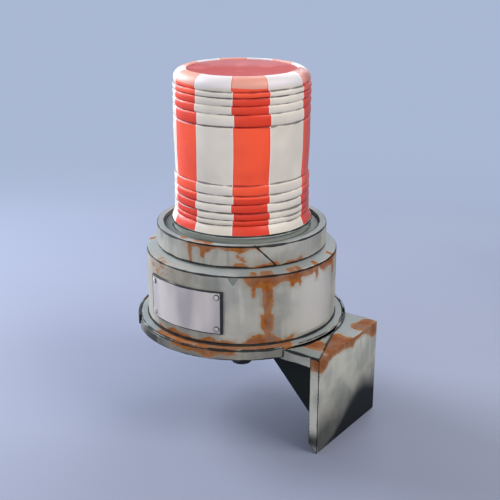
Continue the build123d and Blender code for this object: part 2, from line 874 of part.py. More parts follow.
with BuildPart() as terminal_block:
    boxed_unit(terminal_size, terminal_y, terminal_size[2])
    with BuildSketch(level(terminal_size[2], 0, terminal_y)):
        with GridLocations(terminal_size[0] / 4, terminal_size[1] - 7, 4, 2):
            Circle(2.4)
    extrude(amount=-6, mode=Mode.SUBTRACT)
write(terminal_block, "terminal_block")

with BuildPart() as terminal_screws:
    with BuildSketch(level(terminal_size[2] - 6, 0, terminal_y)):
        with GridLocations(terminal_size[0] / 4, terminal_size[1] - 7, 4, 2):
            Circle(2.2)
    extrude(amount=4)
write(terminal_screws, "terminal_screws")

with BuildPart() as terminal_fixings:
    ear_screws(terminal_size, terminal_y)
write(terminal_fixings, "terminal_fixings")

earth_place = (-66.0, -32.0)
with BuildPart() as earth_stud:
    with BuildSketch(level(0, *earth_place)):
        Circle(m5_shank)
    extrude(amount=18)
write(earth_stud, "earth_stud")

with BuildPart() as earth_nuts:
    for nut_floor in (0, 2 * m5_nut):
        with BuildSketch(level(nut_floor, *earth_place)):
            RegularPolygon(m5_hex, 6)
            Circle(m5_shank + thread_gap, mode=Mode.SUBTRACT)
        extrude(amount=m5_nut)
write(earth_nuts, "earth_nuts")


def lamp_point(x, y, height):
    return (lamp_x + x, y, seat_z + height)


def lead(route, radius):
    """Insulated wire along straight runs joined by tangent arcs."""
    with BuildLine() as path:
        FilletPolyline(*[lamp_point(*point) for point in route], radius=radius)
    with BuildSketch(Plane(path.line @ 0, z_dir=path.line % 0)) as wire_end:
        Circle(lead_radius)
    sweep(wire_end.sketch, path=path.line)


terminal_top = terminal_size[2]
lamp_route = [
    (6, terminal_y, terminal_top),
    (6, terminal_y, terminal_top + 15),
    (5, terminal_y + 18, terminal_top + 20),
    (1, -17, terminal_top + 22),
    (0, 0, chassis_height - 12),
    (0, 0, spindle_top),
]
with BuildPart() as lamp_lead:
    lead(lamp_route, 8)
write(lamp_lead, "lamp_lead")

motor_route = [
    (-14, terminal_y, terminal_top),
    (-14, terminal_y, terminal_top + 14),
    (-31, terminal_y + 1, tag_height + 1),
    (pinion_x, terminal_y + 9, tag_height),
    (pinion_x, tag_face, tag_height),
]
with BuildPart() as motor_lead:
    lead(motor_route, 8)
write(motor_lead, "motor_lead")

# ---------------------------------------------------------------- lens unit
with BuildPart() as lens_gasket:
    with BuildSketch(level(lens_gasket_low)):
        Circle(lens_flange_radius)
        Circle(neck_bore, mode=Mode.SUBTRACT)
    extrude(amount=lens_gasket_thickness)
write(lens_gasket, "lens_gasket")


def scallops(grooves):
    """Rounded ribs between neighbouring grooves, each rib one arc."""
    for low, high in zip(grooves, grooves[1:]):
        crest = (lens_groove_radius + lens_rib_bulge, (low + high) / 2)
        ThreePointArc((lens_groove_radius, low), crest, (lens_groove_radius, high))


waist_step = 2.0
shoulder_mid = (lens_groove_radius - 2.3, lens_top - 2.4)
with BuildPart() as lens:
    with BuildSketch(section):
        with BuildLine():
            scallops(lower_grooves)
            Line((lens_groove_radius, lower_grooves[-1]), (lens_waist_radius, lower_grooves[-1] + waist_step))
            waist_low = (lens_waist_radius, lower_grooves[-1] + waist_step)
            waist_high = (lens_waist_radius, upper_grooves[0] - waist_step)
            Line(waist_low, waist_high)
            Line((lens_waist_radius, upper_grooves[0] - waist_step), (lens_groove_radius, upper_grooves[0]))
            scallops(upper_grooves)
            ThreePointArc((lens_groove_radius, upper_grooves[-1]), shoulder_mid, (lens_rim_outer, lens_top))
            Polyline(
                (lens_rim_outer, lens_top),
                (lens_rim_inner, lens_top - 0.8),
                (lens_rim_inner, cap_seat),
                (lens_rim_inner - cap_ledge, cap_seat),
                (lens_rim_inner - cap_ledge, cap_seat - lens_wall),
                (lens_bore - lens_wall, cap_seat - lens_wall),
                (lens_bore, cap_seat - 2 * lens_wall),
                (lens_bore, flange_bottom),
                (lens_flange_radius, flange_bottom),
                (lens_flange_radius, flange_top),
                (lens_neck_radius, flange_top),
                (lens_neck_radius, lens_skirt_bottom),
                (lens_skirt_radius, lens_skirt_bottom),
                (lens_groove_radius + 1.5, lower_grooves[0] - 1),
                (lens_groove_radius, lower_grooves[0]),
            )
        make_face()
    revolve(axis=lens_axis)
write(lens, "lens")

with BuildPart() as lens_cap:
    with BuildSketch(section):
        with BuildLine():
            cap_radius = lens_rim_inner - seat_gap
            dish_edge = lens_rim_inner - cap_ledge - seat_gap
            dish_middle = (cap_radius / 2, cap_top - 0.72 * cap_dish)
            ThreePointArc((0, cap_top - cap_dish), dish_middle, (cap_radius, cap_top))
            Line((cap_radius, cap_top), (cap_radius, cap_seat))
            Line((cap_radius, cap_seat), (dish_edge, cap_seat))
            Line((dish_edge, cap_seat), (0, cap_seat - cap_dish))
            Line((0, cap_seat - cap_dish), (0, cap_top - cap_dish))
        make_face()
    revolve(axis=lens_axis)
write(lens_cap, "lens_cap")

with BuildPart() as lens_foot_ring:
    with BuildSketch(level(lens_skirt_bottom)):
        Circle(foot_ring_radius)
        Circle(lens_neck_radius + thread_gap, mode=Mode.SUBTRACT)
    extrude(amount=-foot_ring_height)
    fillet(lens_foot_ring.edges().group_by(Axis.Z)[0].sort_by(SortBy.RADIUS)[-1], 0.6)
write(lens_foot_ring, "lens_foot_ring")

with BuildPart() as lens_collar:
    with BuildSketch(section):
        with BuildLine():
            Polyline(
                (collar_radius, collar_bottom),
                (collar_radius, collar_top),
                (collar_step_radius, collar_top),
                (collar_step_radius, collar_ledge),
                (lens_neck_radius + 2 * seat_gap, collar_ledge),
                (lens_neck_radius + 2 * seat_gap, flange_top),
                (collar_bore, flange_top),
                (collar_bore, collar_bottom),
                close=True,
            )
        make_face()
    revolve(axis=lens_axis)
    fillet(lens_collar.edges().group_by(Axis.Z)[-1].sort_by(SortBy.RADIUS)[-1], collar_edge)
    with BuildSketch(side(seam_angle, collar_radius - seam_depth, collar_bottom + collar_height / 2)):
        with BuildLine():
            Polyline(
                (-seam_half_width, collar_height / 2 + 1),
                (-seam_half_width + seam_width, collar_height / 2 + 1),
                (seam_half_width + seam_width, -collar_height / 2 - 1),
                (seam_half_width, -collar_height / 2 - 1),
                close=True,
            )
        make_face()
    extrude(amount=3 * seam_depth, mode=Mode.SUBTRACT)
write(lens_collar, "lens_collar")
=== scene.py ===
"""Looks of a bracket-mounted warning beacon: turned and welded pieces, weathered enamel, striped lens."""
import json
from math import radians

import bpy
import numpy as np
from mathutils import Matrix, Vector


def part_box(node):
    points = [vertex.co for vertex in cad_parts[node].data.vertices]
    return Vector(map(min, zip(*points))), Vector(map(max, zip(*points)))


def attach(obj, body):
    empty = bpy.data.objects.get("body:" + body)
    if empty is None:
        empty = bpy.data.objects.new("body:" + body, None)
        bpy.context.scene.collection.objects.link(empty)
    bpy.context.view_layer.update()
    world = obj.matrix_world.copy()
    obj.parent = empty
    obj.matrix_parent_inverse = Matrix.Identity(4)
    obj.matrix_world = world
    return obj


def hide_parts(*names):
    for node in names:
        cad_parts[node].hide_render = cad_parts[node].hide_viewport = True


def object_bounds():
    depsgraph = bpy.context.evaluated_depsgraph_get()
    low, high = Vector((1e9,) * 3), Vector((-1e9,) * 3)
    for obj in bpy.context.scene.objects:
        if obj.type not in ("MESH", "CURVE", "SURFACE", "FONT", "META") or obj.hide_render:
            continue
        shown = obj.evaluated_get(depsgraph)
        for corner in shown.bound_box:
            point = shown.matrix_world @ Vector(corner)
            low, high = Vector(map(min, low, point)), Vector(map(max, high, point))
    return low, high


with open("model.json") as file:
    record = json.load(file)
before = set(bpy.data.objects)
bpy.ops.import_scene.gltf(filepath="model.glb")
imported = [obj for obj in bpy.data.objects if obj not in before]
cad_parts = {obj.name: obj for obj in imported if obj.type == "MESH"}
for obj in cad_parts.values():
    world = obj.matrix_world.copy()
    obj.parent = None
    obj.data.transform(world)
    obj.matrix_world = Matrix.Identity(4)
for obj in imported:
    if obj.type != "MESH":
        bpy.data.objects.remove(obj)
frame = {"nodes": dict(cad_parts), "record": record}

bl_info = {
    "name": "Warning Beacon Dressing",
    "version": (1, 0, 0),
    "blender": (4, 5, 0),
    "location": "View3D > Sidebar > Beacon",
    "description": "Dresses the beacon's bare frame with its outer pieces, finishes and a small studio",
    "category": "Object",
}

MM = 0.001
BACKDROP = "#AAB8D3"


# ------------------------------------------------------------------ sizes read from the frame
def span(node, axis):
    """Lowest and highest coordinate of a node along one axis, in metres."""
    low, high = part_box(node)
    return float(low[axis]), float(high[axis])


def reach(node):
    """Largest radius of a round node about the lamp axis, in millimetres."""
    low, high = span(node, 1)
    return (high - low) / 2 / MM


def box_mm(node):
    """Lowest and highest coordinate of a node along each axis, in millimetres."""
    return [[value / MM for value in span(node, axis)] for axis in range(3)]


def above_seat(node):
    """Lowest and highest height of a node above the pan's top face, in millimetres."""
    low, high = span(node, 2)
    return (low - SEAT) / MM, (high - SEAT) / MM


AXIS_X = sum(span("drum_shell", 0)) / 2
SEAT = span("base_pan", 2)[1]
BOX_AT_LOAD = [list(map(float, corner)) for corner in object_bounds()]
# Nominal outer radii of the round pieces and of the lens between its ribs, in millimetres.
DRUM_RADIUS, COLLAR_RADIUS, RIM_RADIUS, LENS_NECK = 97.5, 86.5, 108, 66.7
# Heights above the seat of the drum's rolled edge, of the lens's grooves and of its shoulder's foot.
DRUM_EDGE = 71.5
LOWER_GROOVES = [111.2, 116.4, 123.4, 132.0, 140.6, 151.0]
UPPER_GROOVES = [206.6, 218.2, 226.3, 233.7, 239.3]
SHOULDER = 242.6
# Bearings of the joints between the lens's sectors, in degrees.
LENS_JOINTS = [-124.0, -94.8, -61.8, -31.8, 6.0, 33.5, 62.5, 91.9, 121.3, 150.7, 180.1, 209.6]


# ------------------------------------------------------------------ colour and node helpers
def linear(code):
    """sRGB hex to linear RGBA: c/12.92 below 0.04045, else ((c + 0.055) / 1.055) ^ 2.4."""
    channels = np.array([int(code[i:i + 2], 16) / 255 for i in (1, 3, 5)])
    lit = np.where(channels <= 0.04045, channels / 12.92, ((channels + 0.055) / 1.055) ** 2.4)
    return (*map(float, lit), 1.0)


def add(tree, kind, inputs=None, out=0, **settings):
    """Add a shader node with its settings, fill or link its inputs, and return one output socket."""
    node = tree.nodes.new("ShaderNode" + kind)
    for key, value in settings.items():
        setattr(node, key, value)
    for key, value in (inputs or {}).items():
        if isinstance(value, bpy.types.NodeSocket):
            tree.links.new(value, node.inputs[key])
        else:
            node.inputs[key].default_value = linear(value) if isinstance(value, str) else value
    return node.outputs[out] if node.outputs else None


def new_material(name):
    """Empty node material, ready for its shader."""
    material = bpy.data.materials.new(name)
    material.use_nodes = True
    material.node_tree.nodes.clear()
    return material, material.node_tree


# ------------------------------------------------------------------ surface helpers
NO_RUST = -9.0


def waves(across, along, seed, scale=1.0, count=5):
    """Sum of sines with seeded directions and phases, between about -1 and 1."""
    rng = np.random.default_rng(seed)
    total = np.zeros(np.broadcast(across, along).shape)
    for k in range(count):
        pitch = scale * (1.0 + 0.9 * k)
        turn, phase = rng.uniform(0, 2 * np.pi, 2)
        total += np.sin(pitch * (across * np.cos(turn) + along * np.sin(turn)) + phase) / (1 + 0.6 * k)
    return total / 2.2


def rounded(corners, step=1.2):
    """Closed outline through corners (a, b, rounding), each corner the parabola
    (1-t)^2 start + 2t(1-t) corner + t^2 end between its tangent points, refilled every step mm."""
    table = np.array(corners, float)
    point, radius = table[:, :2], table[:, 2:]
    back = np.roll(point, 1, 0) - point
    ahead = np.roll(point, -1, 0) - point
    back_length = np.linalg.norm(back, axis=1, keepdims=True)
    ahead_length = np.linalg.norm(ahead, axis=1, keepdims=True)
    cut = np.minimum(radius, 0.45 * np.minimum(back_length, ahead_length))
    start = point + back / back_length * cut
    end = point + ahead / ahead_length * cut
    t = np.linspace(0, 1, 6)[None, :, None]
    arcs = (1 - t) ** 2 * start[:, None] + 2 * t * (1 - t) * point[:, None] + t ** 2 * end[:, None]
    loop = arcs.reshape(-1, 2)
    gap = np.linalg.norm(np.roll(loop, -1, 0) - loop, axis=1)
    loop = loop[gap > 1e-6]
    closed = np.vstack([loop, loop[:1]])
    run = np.concatenate([[0], np.cumsum(np.linalg.norm(np.diff(closed, axis=0), axis=1))])
    extra = np.arange(0, run[-1], step)
    extra = extra[np.abs(extra[:, None] - run[None]).min(1) > 0.3 * step]
    where = np.sort(np.concatenate([run[:-1], extra]))
    return np.column_stack([np.interp(where, run, closed[:, k]) for k in (0, 1)])


def nearest(points, marks):
    """Distance from each point to the nearest mark, along the last axis."""
    return np.linalg.norm(points[..., None, :] - np.asarray(marks, float), axis=-1).min(-1)


def skin(name, rings, body, slot, material, joined=False, **paint):
    """Skin a stack of rings (stations, points, 3) in metres; joined makes the stack a closed loop,
    otherwise each end is closed by a fan to its middle. Each paint array is stored on the points."""
    stations, count = rings.shape[:2]
    index = np.arange(stations * count).reshape(stations, count)
    nxt = np.roll(index, -1, 1)
    first, second = (index, np.roll(index, -1, 0)) if joined else (index[:-1], index[1:])
    nxt_a, nxt_b = (nxt, np.roll(nxt, -1, 0)) if joined else (nxt[:-1], nxt[1:])
    quads = np.stack([first, nxt_a, nxt_b, second], -1).reshape(-1, 4)
    points = rings.reshape(-1, 3)
    fans = np.zeros((0, 3), int)
    if not joined:
        middles = rings[[0, -1]].mean(1)
        tips = len(points) + np.arange(2)
        points = np.vstack([points, middles])
        low = np.column_stack([nxt[0], index[0], np.full(count, tips[0])])
        high = np.column_stack([index[-1], nxt[-1], np.full(count, tips[1])])
        fans = np.vstack([low, high])
    corners = points[quads]
    volume = np.einsum("ij,ij->", corners[:, 0], np.cross(corners[:, 1], corners[:, 2]))
    volume += np.einsum("ij,ij->", corners[:, 0], np.cross(corners[:, 2], corners[:, 3]))
    if len(fans):
        wedge = points[fans]
        volume += np.einsum("ij,ij->", wedge[:, 0], np.cross(wedge[:, 1], wedge[:, 2]))
    if volume < 0:
        quads, fans = quads[:, ::-1], fans[:, ::-1]
    mesh = bpy.data.meshes.new(name)
    mesh.from_pydata(points.tolist(), [], quads.tolist() + fans.tolist())
    for key, values in paint.items():
        flat = np.broadcast_to(values, (stations, count)).reshape(-1)
        if not joined:
            flat = np.concatenate([flat, [values_mean(values, 0), values_mean(values, -1)]])
        layer = mesh.attributes.new(key, "FLOAT", "POINT")
        layer.data.foreach_set("value", flat.astype(np.float32))
    mesh.shade_smooth()
    mesh.set_sharp_from_angle(angle=radians(38))
    mesh.materials.append(material)
    piece = bpy.data.objects.new(name, mesh)
    bpy.context.scene.collection.objects.link(piece)
    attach(piece, body)
    return piece


def values_mean(values, station):
    """Mean of a paint array over one end ring."""
    return float(np.mean(np.atleast_2d(values)[station]))


def place(radius, angle, height):
    """Points at radius and height in millimetres and angle in radians round the lamp axis, in metres."""
    shape = np.broadcast(radius, angle, height).shape
    flat = (AXIS_X + radius * MM * np.cos(angle), radius * MM * np.sin(angle), SEAT + height * MM)
    return np.stack([np.broadcast_to(f, shape) for f in flat], -1)


def swept(angle, outline):
    """Grids of bearing, radius and height: every point of an outline r(s), z(s) at every bearing."""
    return np.broadcast_arrays(angle, outline[None, :, 0], outline[None, :, 1])


def wear_fields(edge, angle, radius, height, rust, paint):
    """The arrays that a piece's paint reads: distance to an edge, depth in the rust, and any others, each
    a function of bearing in degrees, radius and height."""
    where = np.degrees(angle), radius, height
    fields = {"edge_mm": edge, "rust_mm": rust(*where) if rust else np.full(edge.shape, NO_RUST)}
    fields.update({key: value(*where) for key, value in paint.items()})
    return fields


def turned(name, outline, inked, body, slot, material, count=240, dents=0.0, seed=1, rust=None, **paint):
    """Ring r(s), z(s) turned about the lamp axis, its radius dented inwards by up to dents mm:
    r(s) - dents (1 + waves(angle, z)) / 2."""
    angle = np.linspace(-np.pi, np.pi, count, endpoint=False)[:, None]
    angle, radius, height = swept(angle, outline)
    worn = dents * (1 + waves(6 * np.cos(angle) + 5 * np.sin(angle), height / 9, seed)) / 2
    fields = wear_fields(nearest(outline, inked)[None] + 0 * angle, angle, radius, height, rust, paint)
    rings = place(radius - worn, angle, height)
    return skin(name, rings, body, slot, material, joined=True, **fields)


def curved_strip(name, outline, inked, start, end, body, slot, material, rust=None, **paint):
    """Outline r(s), z(s) swept round the lamp axis from start to end degrees, its ends closed flat."""
    count = max(8, int((end - start) * 1.6))
    inset = np.array([0.0, 0.0, *np.linspace(0, 1, count)[1:-1], 1.0, 1.0])
    angle = np.radians(start + (end - start) * inset)[:, None]
    angle, radius, height = swept(angle, outline)
    middle = outline.mean(0)
    shrink = np.ones((len(inset), 1))
    shrink[[0, -1]] = 0.5
    radius = middle[0] + (radius - middle[0]) * shrink
    height = middle[1] + (height - middle[1]) * shrink
    to_end = radius * np.minimum(angle - angle[0], angle[-1] - angle)
    edge = np.minimum(nearest(outline, inked)[None], to_end)
    fields = wear_fields(edge, angle, radius, height, rust, paint)
    return skin(name, place(radius, angle, height), body, slot, material, **fields)


def plate(name, corners, axes, low, high, body, slot, material, rust=None, rounding=0.7, step=2.5,
          marks=None, bare=None):
    """Flat plate: a rounded outline in two axes carried along the third from low to high (mm),
    its rims eased by the rounding, its faces closed by rings that shrink to the middle."""
    outline = rounded(corners, step)
    tangent = np.roll(outline, -1, 0) - np.roll(outline, 1, 0)
    normal = np.column_stack([tangent[:, 1], -tangent[:, 0]])
    normal /= np.linalg.norm(normal, axis=1, keepdims=True)
    middle = outline.mean(0)
    if np.sum(normal * (outline - middle)) < 0:
        normal = -normal
    inner = outline - rounding * normal
    ease = np.array([1.0, 0.35, 0.0])
    steps = max(2, int((high - low) / step))
    start = low + rounding * (1 - np.array([1.0, 0.65, 0.0]))
    run = np.concatenate([start, np.linspace(low, high, steps + 2)[1:-1]])
    run = run[(run > low + rounding) | (np.arange(len(run)) < 3)]
    run = run[run < high - rounding]
    run = np.concatenate([run, high - rounding * (1 - np.array([0.0, 0.65, 1.0]))])
    eased = np.zeros(len(run))
    eased[:3], eased[-3:] = ease, ease[::-1]
    sides = outline[None] - rounding * eased[:, None, None] * normal[None]
    shrink = np.array([0.02, 0.15, 0.3, 0.5, 0.7, 0.85, 0.94, 0.98])[:, None, None]
    face = middle + (inner - middle)[None] * shrink
    flat = np.concatenate([face, sides, face[::-1]])
    travel = np.concatenate([np.full(len(face), run[0]), run, np.full(len(face), run[-1])])
    points = np.zeros((*flat.shape[:2], 3))
    points[..., axes[0]], points[..., axes[1]] = flat[..., 0], flat[..., 1]
    points[..., 3 - sum(axes)] = travel[:, None]
    marks = np.array(corners)[:, :2] if marks is None else marks
    edge = np.minimum(nearest(flat, marks), np.minimum(travel - low, high - travel)[:, None])
    on_face = nearest(face, inner[::2])
    edge[:len(face)], edge[-len(face):] = on_face, on_face[::-1]
    if bare is not None:
        edge = np.where(bare(points), 9.0, edge)
    fields = {"edge_mm": np.maximum(edge, 0)}
    fields["rust_mm"] = rust(points) if rust else np.full(edge.shape, NO_RUST)
    return skin(name, points * MM, body, slot, material, **fields)


# ------------------------------------------------------------------ finishes
# Noise values between which one tone of a clouded coat passes into the other.
CLOUDED = (0.36, 0.66)


def grain(tree, size_mm, detail=3.0, stretch=1.0):
    """Noise whose spots are about size_mm across, drawn out along Z by stretch."""
    spots = add(tree, "Mapping", {"Vector": add(tree, "TexCoord", out="Object"), "Scale": (1, 1, 1 / stretch)})
    return add(tree, "TexNoise", {"Vector": spots, "Scale": 1000 / size_mm, "Detail": detail})


def frayed(tree, value, noise, amount):
    """The value moved up or down by a noise, by at most amount, so that an edge made from it is ragged."""
    shift = add(tree, "MapRange", {0: noise, 1: 0.3, 2: 0.7, 3: -amount, 4: amount}, clamp=False)
    return add(tree, "Math", {0: value, 1: shift}, operation="ADD")


def coat(tree, under, over, value, low, high, strength=1.0):
    """The colour under, with the colour over laid on it: none below low, up to strength above high, and
    smooth between."""
    cover = add(tree, "MapRange", {0: value, 1: low, 2: high, 4: strength}, interpolation_type="SMOOTHSTEP")
    return add(tree, "Mix", {0: cover, 6: under, 7: over}, out=2, data_type="RGBA")


def ring_distance(tree, rings):
    """Distance in millimetres to the nearest of a few circles (radius, height) round the lamp axis."""
    place_at = add(tree, "TexCoord", out="Object")
    parts = add(tree, "VectorMath", {0: place_at, 1: (AXIS_X, 0, 0)}, operation="SUBTRACT")
    flat = add(tree, "VectorMath", {0: parts, 1: (1, 1, 0)}, operation="MULTIPLY")
    radius = add(tree, "VectorMath", {0: flat}, out=1, operation="LENGTH")
    height = add(tree, "SeparateXYZ", {0: place_at}, out=2)
    profile = add(tree, "CombineXYZ", {0: radius, 2: height})
    shortest = None
    for ring_radius, ring_height in rings:
        ring = (ring_radius * MM, 0, SEAT + ring_height * MM)
        gap = add(tree, "VectorMath", {0: profile, 1: ring}, out=1, operation="DISTANCE")
        gap = add(tree, "Math", {0: gap, 1: 1 / MM}, operation="MULTIPLY")
        shortest = gap if shortest is None else add(tree, "Math", {0: shortest, 1: gap}, operation="MINIMUM")
    return shortest


def shade(tree, colour, roughness, bump=None, bump_mm=0.1, **fixed):
    """Principled shader with a bump height, joined to the output."""
    inputs = {"Base Color": colour, "Roughness": roughness, **fixed}
    if bump is not None:
        inputs["Normal"] = add(tree, "Bump", {"Height": bump, "Distance": bump_mm * MM, "Strength": 0.6})
    surface = add(tree, "BsdfPrincipled", inputs)
    add(tree, "OutputMaterial", {"Surface": surface})


def viewed(tree):
    """1 for a ray that shows something to the eye, straight, mirrored or through glass, and 0 for light."""
    rays = [add(tree, "LightPath", out=f"Is {kind} Ray") for kind in ("Camera", "Glossy", "Transmission")]
    either = add(tree, "Math", {0: rays[0], 1: rays[1]}, operation="MAXIMUM")
    return add(tree, "Math", {0: either, 1: rays[2]}, operation="MAXIMUM")


def old_enamel(name, looks, ink_mm=0.95, rings=None, pale=None, deep=None, top=None, soot=False):
    """Brushed alkyd enamel on sheet steel, years outdoors: clouded grey-green coat, a painted bluish
    skylight on upward faces, painted highlights where the tone attribute is high, dirt gathered
    in dark lines along every edge, orange rust with a brown rim where the coat has gone, grey
    scuffs down to primer (on the collar the same coat is painted shade in its recess), near-black
    painted shade where asked, and faint runs down upright faces."""
    material, tree = new_material(name)
    pale, deep = pale or looks.enamel_light, deep or looks.enamel_deep
    cloud = grain(tree, 34, 3.0)
    runs = grain(tree, 9, 2.0, stretch=7)
    fine = grain(tree, 1.6, 4.0)
    colour = coat(tree, pale, deep, cloud, *CLOUDED)
    colour = coat(tree, colour, "#B9BDB7", runs, 0.6, 0.72, 0.4)
    colour = coat(tree, colour, "#6A716D", runs, 0.42, 0.3, 0.35)
    # Painted skylight: faces turned upwards take a bluish grey, read off their normals.
    upward = add(tree, "SeparateXYZ", {0: add(tree, "NewGeometry", out="Normal")}, out=2)
    colour = coat(tree, colour, top or looks.enamel_skylit_top, upward, 0.5, 0.9, 0.85)
    if rings is None:
        edge, rust, tone, scuff_and_shade = (
            add(tree, "Attribute", out="Fac", attribute_name=key)
            for key in ("edge_mm", "rust_mm", "tone", "chip_mm")
        )
        # Painted highlight: a pale grey laid on where the tone is high.
        colour = coat(tree, colour, "#B9B9B6", tone, 0.0, 1.0)
        # Grey scuffs on the drum; on the collar the same coat is painted shade in its recess.
        colour = coat(tree, colour, "#747A78", scuff_and_shade, 0.0, 0.3)
    else:
        edge = ring_distance(tree, rings)
        # On the pan the rust lies within 40 to 46 degrees of the bearing -68, read off the coordinates.
        place_at = add(tree, "TexCoord", out="Object")
        parts = add(tree, "VectorMath", {0: place_at, 1: (AXIS_X, 0, 0)}, operation="SUBTRACT")
        across, along = (add(tree, "SeparateXYZ", {0: parts}, out=k) for k in (0, 1))
        bearing = add(tree, "Math", {0: along, 1: across}, operation="ARCTAN2")
        away = add(tree, "Math", {0: bearing, 1: radians(-68)}, operation="SUBTRACT")
        away = add(tree, "Math", {0: away}, operation="ABSOLUTE")
        rust = add(tree, "MapRange", {0: away, 1: radians(40), 2: radians(46), 3: 1.2, 4: -4.0})
    # Painted shade: near black laid on where the attribute asks.
    if soot:
        black = add(tree, "Attribute", out="Fac", attribute_name="soot")
        colour = coat(tree, colour, "#080C0E", black, 0.0, 1.0)
    ragged = grain(tree, 5.5, 4.0)
    bare = frayed(tree, rust, ragged, 1.2)
    bare = add(tree, "MapRange", {0: bare, 1: -0.7, 2: 0.8}, interpolation_type="SMOOTHSTEP")
    colour = coat(tree, colour, "#94826C", frayed(tree, rust, ragged, 1.6), -4.5, 0.0, 0.4)
    heart = frayed(tree, rust, grain(tree, 7, 4.0), 3.0)
    orange = coat(tree, looks.rust_light, looks.rust_deep, heart, 1.0, 5.0, 0.75)
    orange = coat(tree, orange, "#7A4128", fine, 0.6, 0.72, 0.5)
    worn = add(tree, "MapRange", {0: grain(tree, 15, 3.0), 1: 0.36, 2: 0.62, 3: 0.68, 4: 0.97})
    worn = add(tree, "Math", {0: bare, 1: worn}, operation="MULTIPLY")
    colour = add(tree, "Mix", {0: worn, 6: colour, 7: orange}, out=2, data_type="RGBA")
    thin, thick = 0.3 * ink_mm, 1.25 * ink_mm
    width = add(tree, "MapRange", {0: grain(tree, 21, 2.0), 1: 0.3, 2: 0.68, 3: thin, 4: thick})
    line = add(tree, "Math", {0: width, 1: edge}, operation="SUBTRACT")
    colour = coat(tree, colour, looks.ink, line, -0.1, 0.22, 0.95)
    colour = coat(tree, colour, "#5A6060", fine, 0.72, 0.76, 0.5)
    rough = add(tree, "MapRange", {0: bare, 3: 0.6, 4: 0.92})
    height = add(tree, "Math", {0: fine, 1: bare}, operation="MULTIPLY")
    eaten = add(tree, "Math", {0: bare, 1: 0.5}, operation="MULTIPLY")
    height = add(tree, "Math", {0: height, 1: eaten}, operation="SUBTRACT")
    shade(tree, colour, rough, height, 0.5, **{"Specular IOR Level": 0.25})
    return material


def rolled_aluminium(looks):
    """Rolled aluminium plate, satin and hazed: soft violet-grey clouds in upright bands, fine
    scratches along the roll, a dark line of dirt round its rim, and a wide dark band of painted
    shadow along its right-hand end."""
    material, tree = new_material("rolled_aluminium_plate")
    clouds = grain(tree, 26, 1.5, stretch=2.5)
    scratches = grain(tree, 0.9, 3.0, stretch=0.08)
    colour = coat(tree, looks.plate_light, looks.plate_shade, clouds, 0.38, 0.66)
    colour = coat(tree, colour, "#E2E0E2", scratches, 0.62, 0.7, 0.4)
    edge = add(tree, "Attribute", out="Fac", attribute_name="edge_mm")
    width = add(tree, "MapRange", {0: grain(tree, 19, 2.0), 1: 0.3, 2: 0.7, 3: 0.8, 4: 1.5})
    line = add(tree, "Math", {0: width, 1: edge}, operation="SUBTRACT")
    line = add(tree, "MapRange", {0: line, 1: -0.1, 2: 0.2}, interpolation_type="SMOOTHSTEP")
    # Painted shadow: the shade attribute draws a wide dark band along the right-hand end.
    side = add(tree, "Attribute", out="Fac", attribute_name="shade")
    side = add(tree, "MapRange", {0: side, 1: 0.0, 2: 0.4}, interpolation_type="SMOOTHSTEP")
    line = add(tree, "Math", {0: line, 1: side}, operation="MAXIMUM")
    colour = add(tree, "Mix", {0: line, 6: colour, 7: looks.ink}, out=2, data_type="RGBA")
    shade(tree, colour, 0.5, scratches, 0.05, Metallic=0.08)
    return material


def moulded_lens(looks):
    """Moulded acrylic lens in red and white sectors, opal inside: glossy, slightly milky, a pale
    bead of bleed on the white side of each joint, painted shade in the grooves between the ribs that
    shows brown-red on the red and grey on the white, a painted highlight that pales the shoulder,
    painted shade that dulls the red of one sector, and painted shade in grey on the neck below the foot ring."""
    material, tree = new_material("moulded_acrylic_lens")
    stripe, groove, rise, hot, dull, neck = (
        add(tree, "Attribute", out="Fac", attribute_name=key)
        for key in ("stripe_mm", "groove_mm", "shoulder_highlight_mm", "hot", "dull", "neck_shade")
    )
    cloud = grain(tree, 38, 2.0)
    reds = coat(tree, looks.lens_red, looks.lens_red_deep, cloud, *CLOUDED, 0.8)
    reds = coat(tree, reds, "#CC2A0C", hot, 0.0, 1.0, 0.85)
    whites = coat(tree, looks.lens_white, looks.lens_white_deep, cloud, *CLOUDED)
    # Painted highlight: the shoulder pales to salmon on the red and to a lavender white on the white.
    reds = coat(tree, reds, "#D19A8B", rise, -0.6, 0.6, 0.9)
    whites = coat(tree, whites, "#D0CDD2", rise, -0.6, 0.6, 0.9)
    # Painted shade in the grooves: brown-red on the red, grey on the white, of wandering width.
    groove_width = add(tree, "MapRange", {0: grain(tree, 17, 2.0), 1: 0.34, 2: 0.66, 3: 0.15, 4: 0.95})
    groove_line = add(tree, "Math", {0: groove_width, 1: groove}, operation="SUBTRACT")
    reds = coat(tree, reds, "#8C0C06", groove_line, -0.3, 0.3, 0.92)
    whites = coat(tree, whites, "#5A5655", groove_line, -0.3, 0.3, 0.85)
    bleed = add(tree, "Math", {0: stripe, 1: 1.0}, operation="ADD")
    whites = coat(tree, whites, "#EFDCD6", bleed, 0.0, 0.6, 0.8)
    reds = coat(tree, reds, "#C02A16", stripe, 1.1, 0.4, 0.7)
    # Painted shade: the red of the sector between bearings 4 and 34 is dulled to a grey-brown.
    reds = coat(tree, reds, "#8A4A48", dull, 0.0, 1.0, 0.6)
    colour = coat(tree, whites, reds, stripe, -0.35, 0.35)
    # Painted shade: the neck below the foot ring is grey.
    colour = coat(tree, colour, "#8E9591", neck, 0.0, 0.6)
    fine = grain(tree, 3, 3.0)
    rough = add(tree, "MapRange", {0: fine, 1: 0.3, 2: 0.7, 3: 0.42, 4: 0.58})
    shade(tree, colour, rough, fine, 0.04, IOR=1.49)
    return material


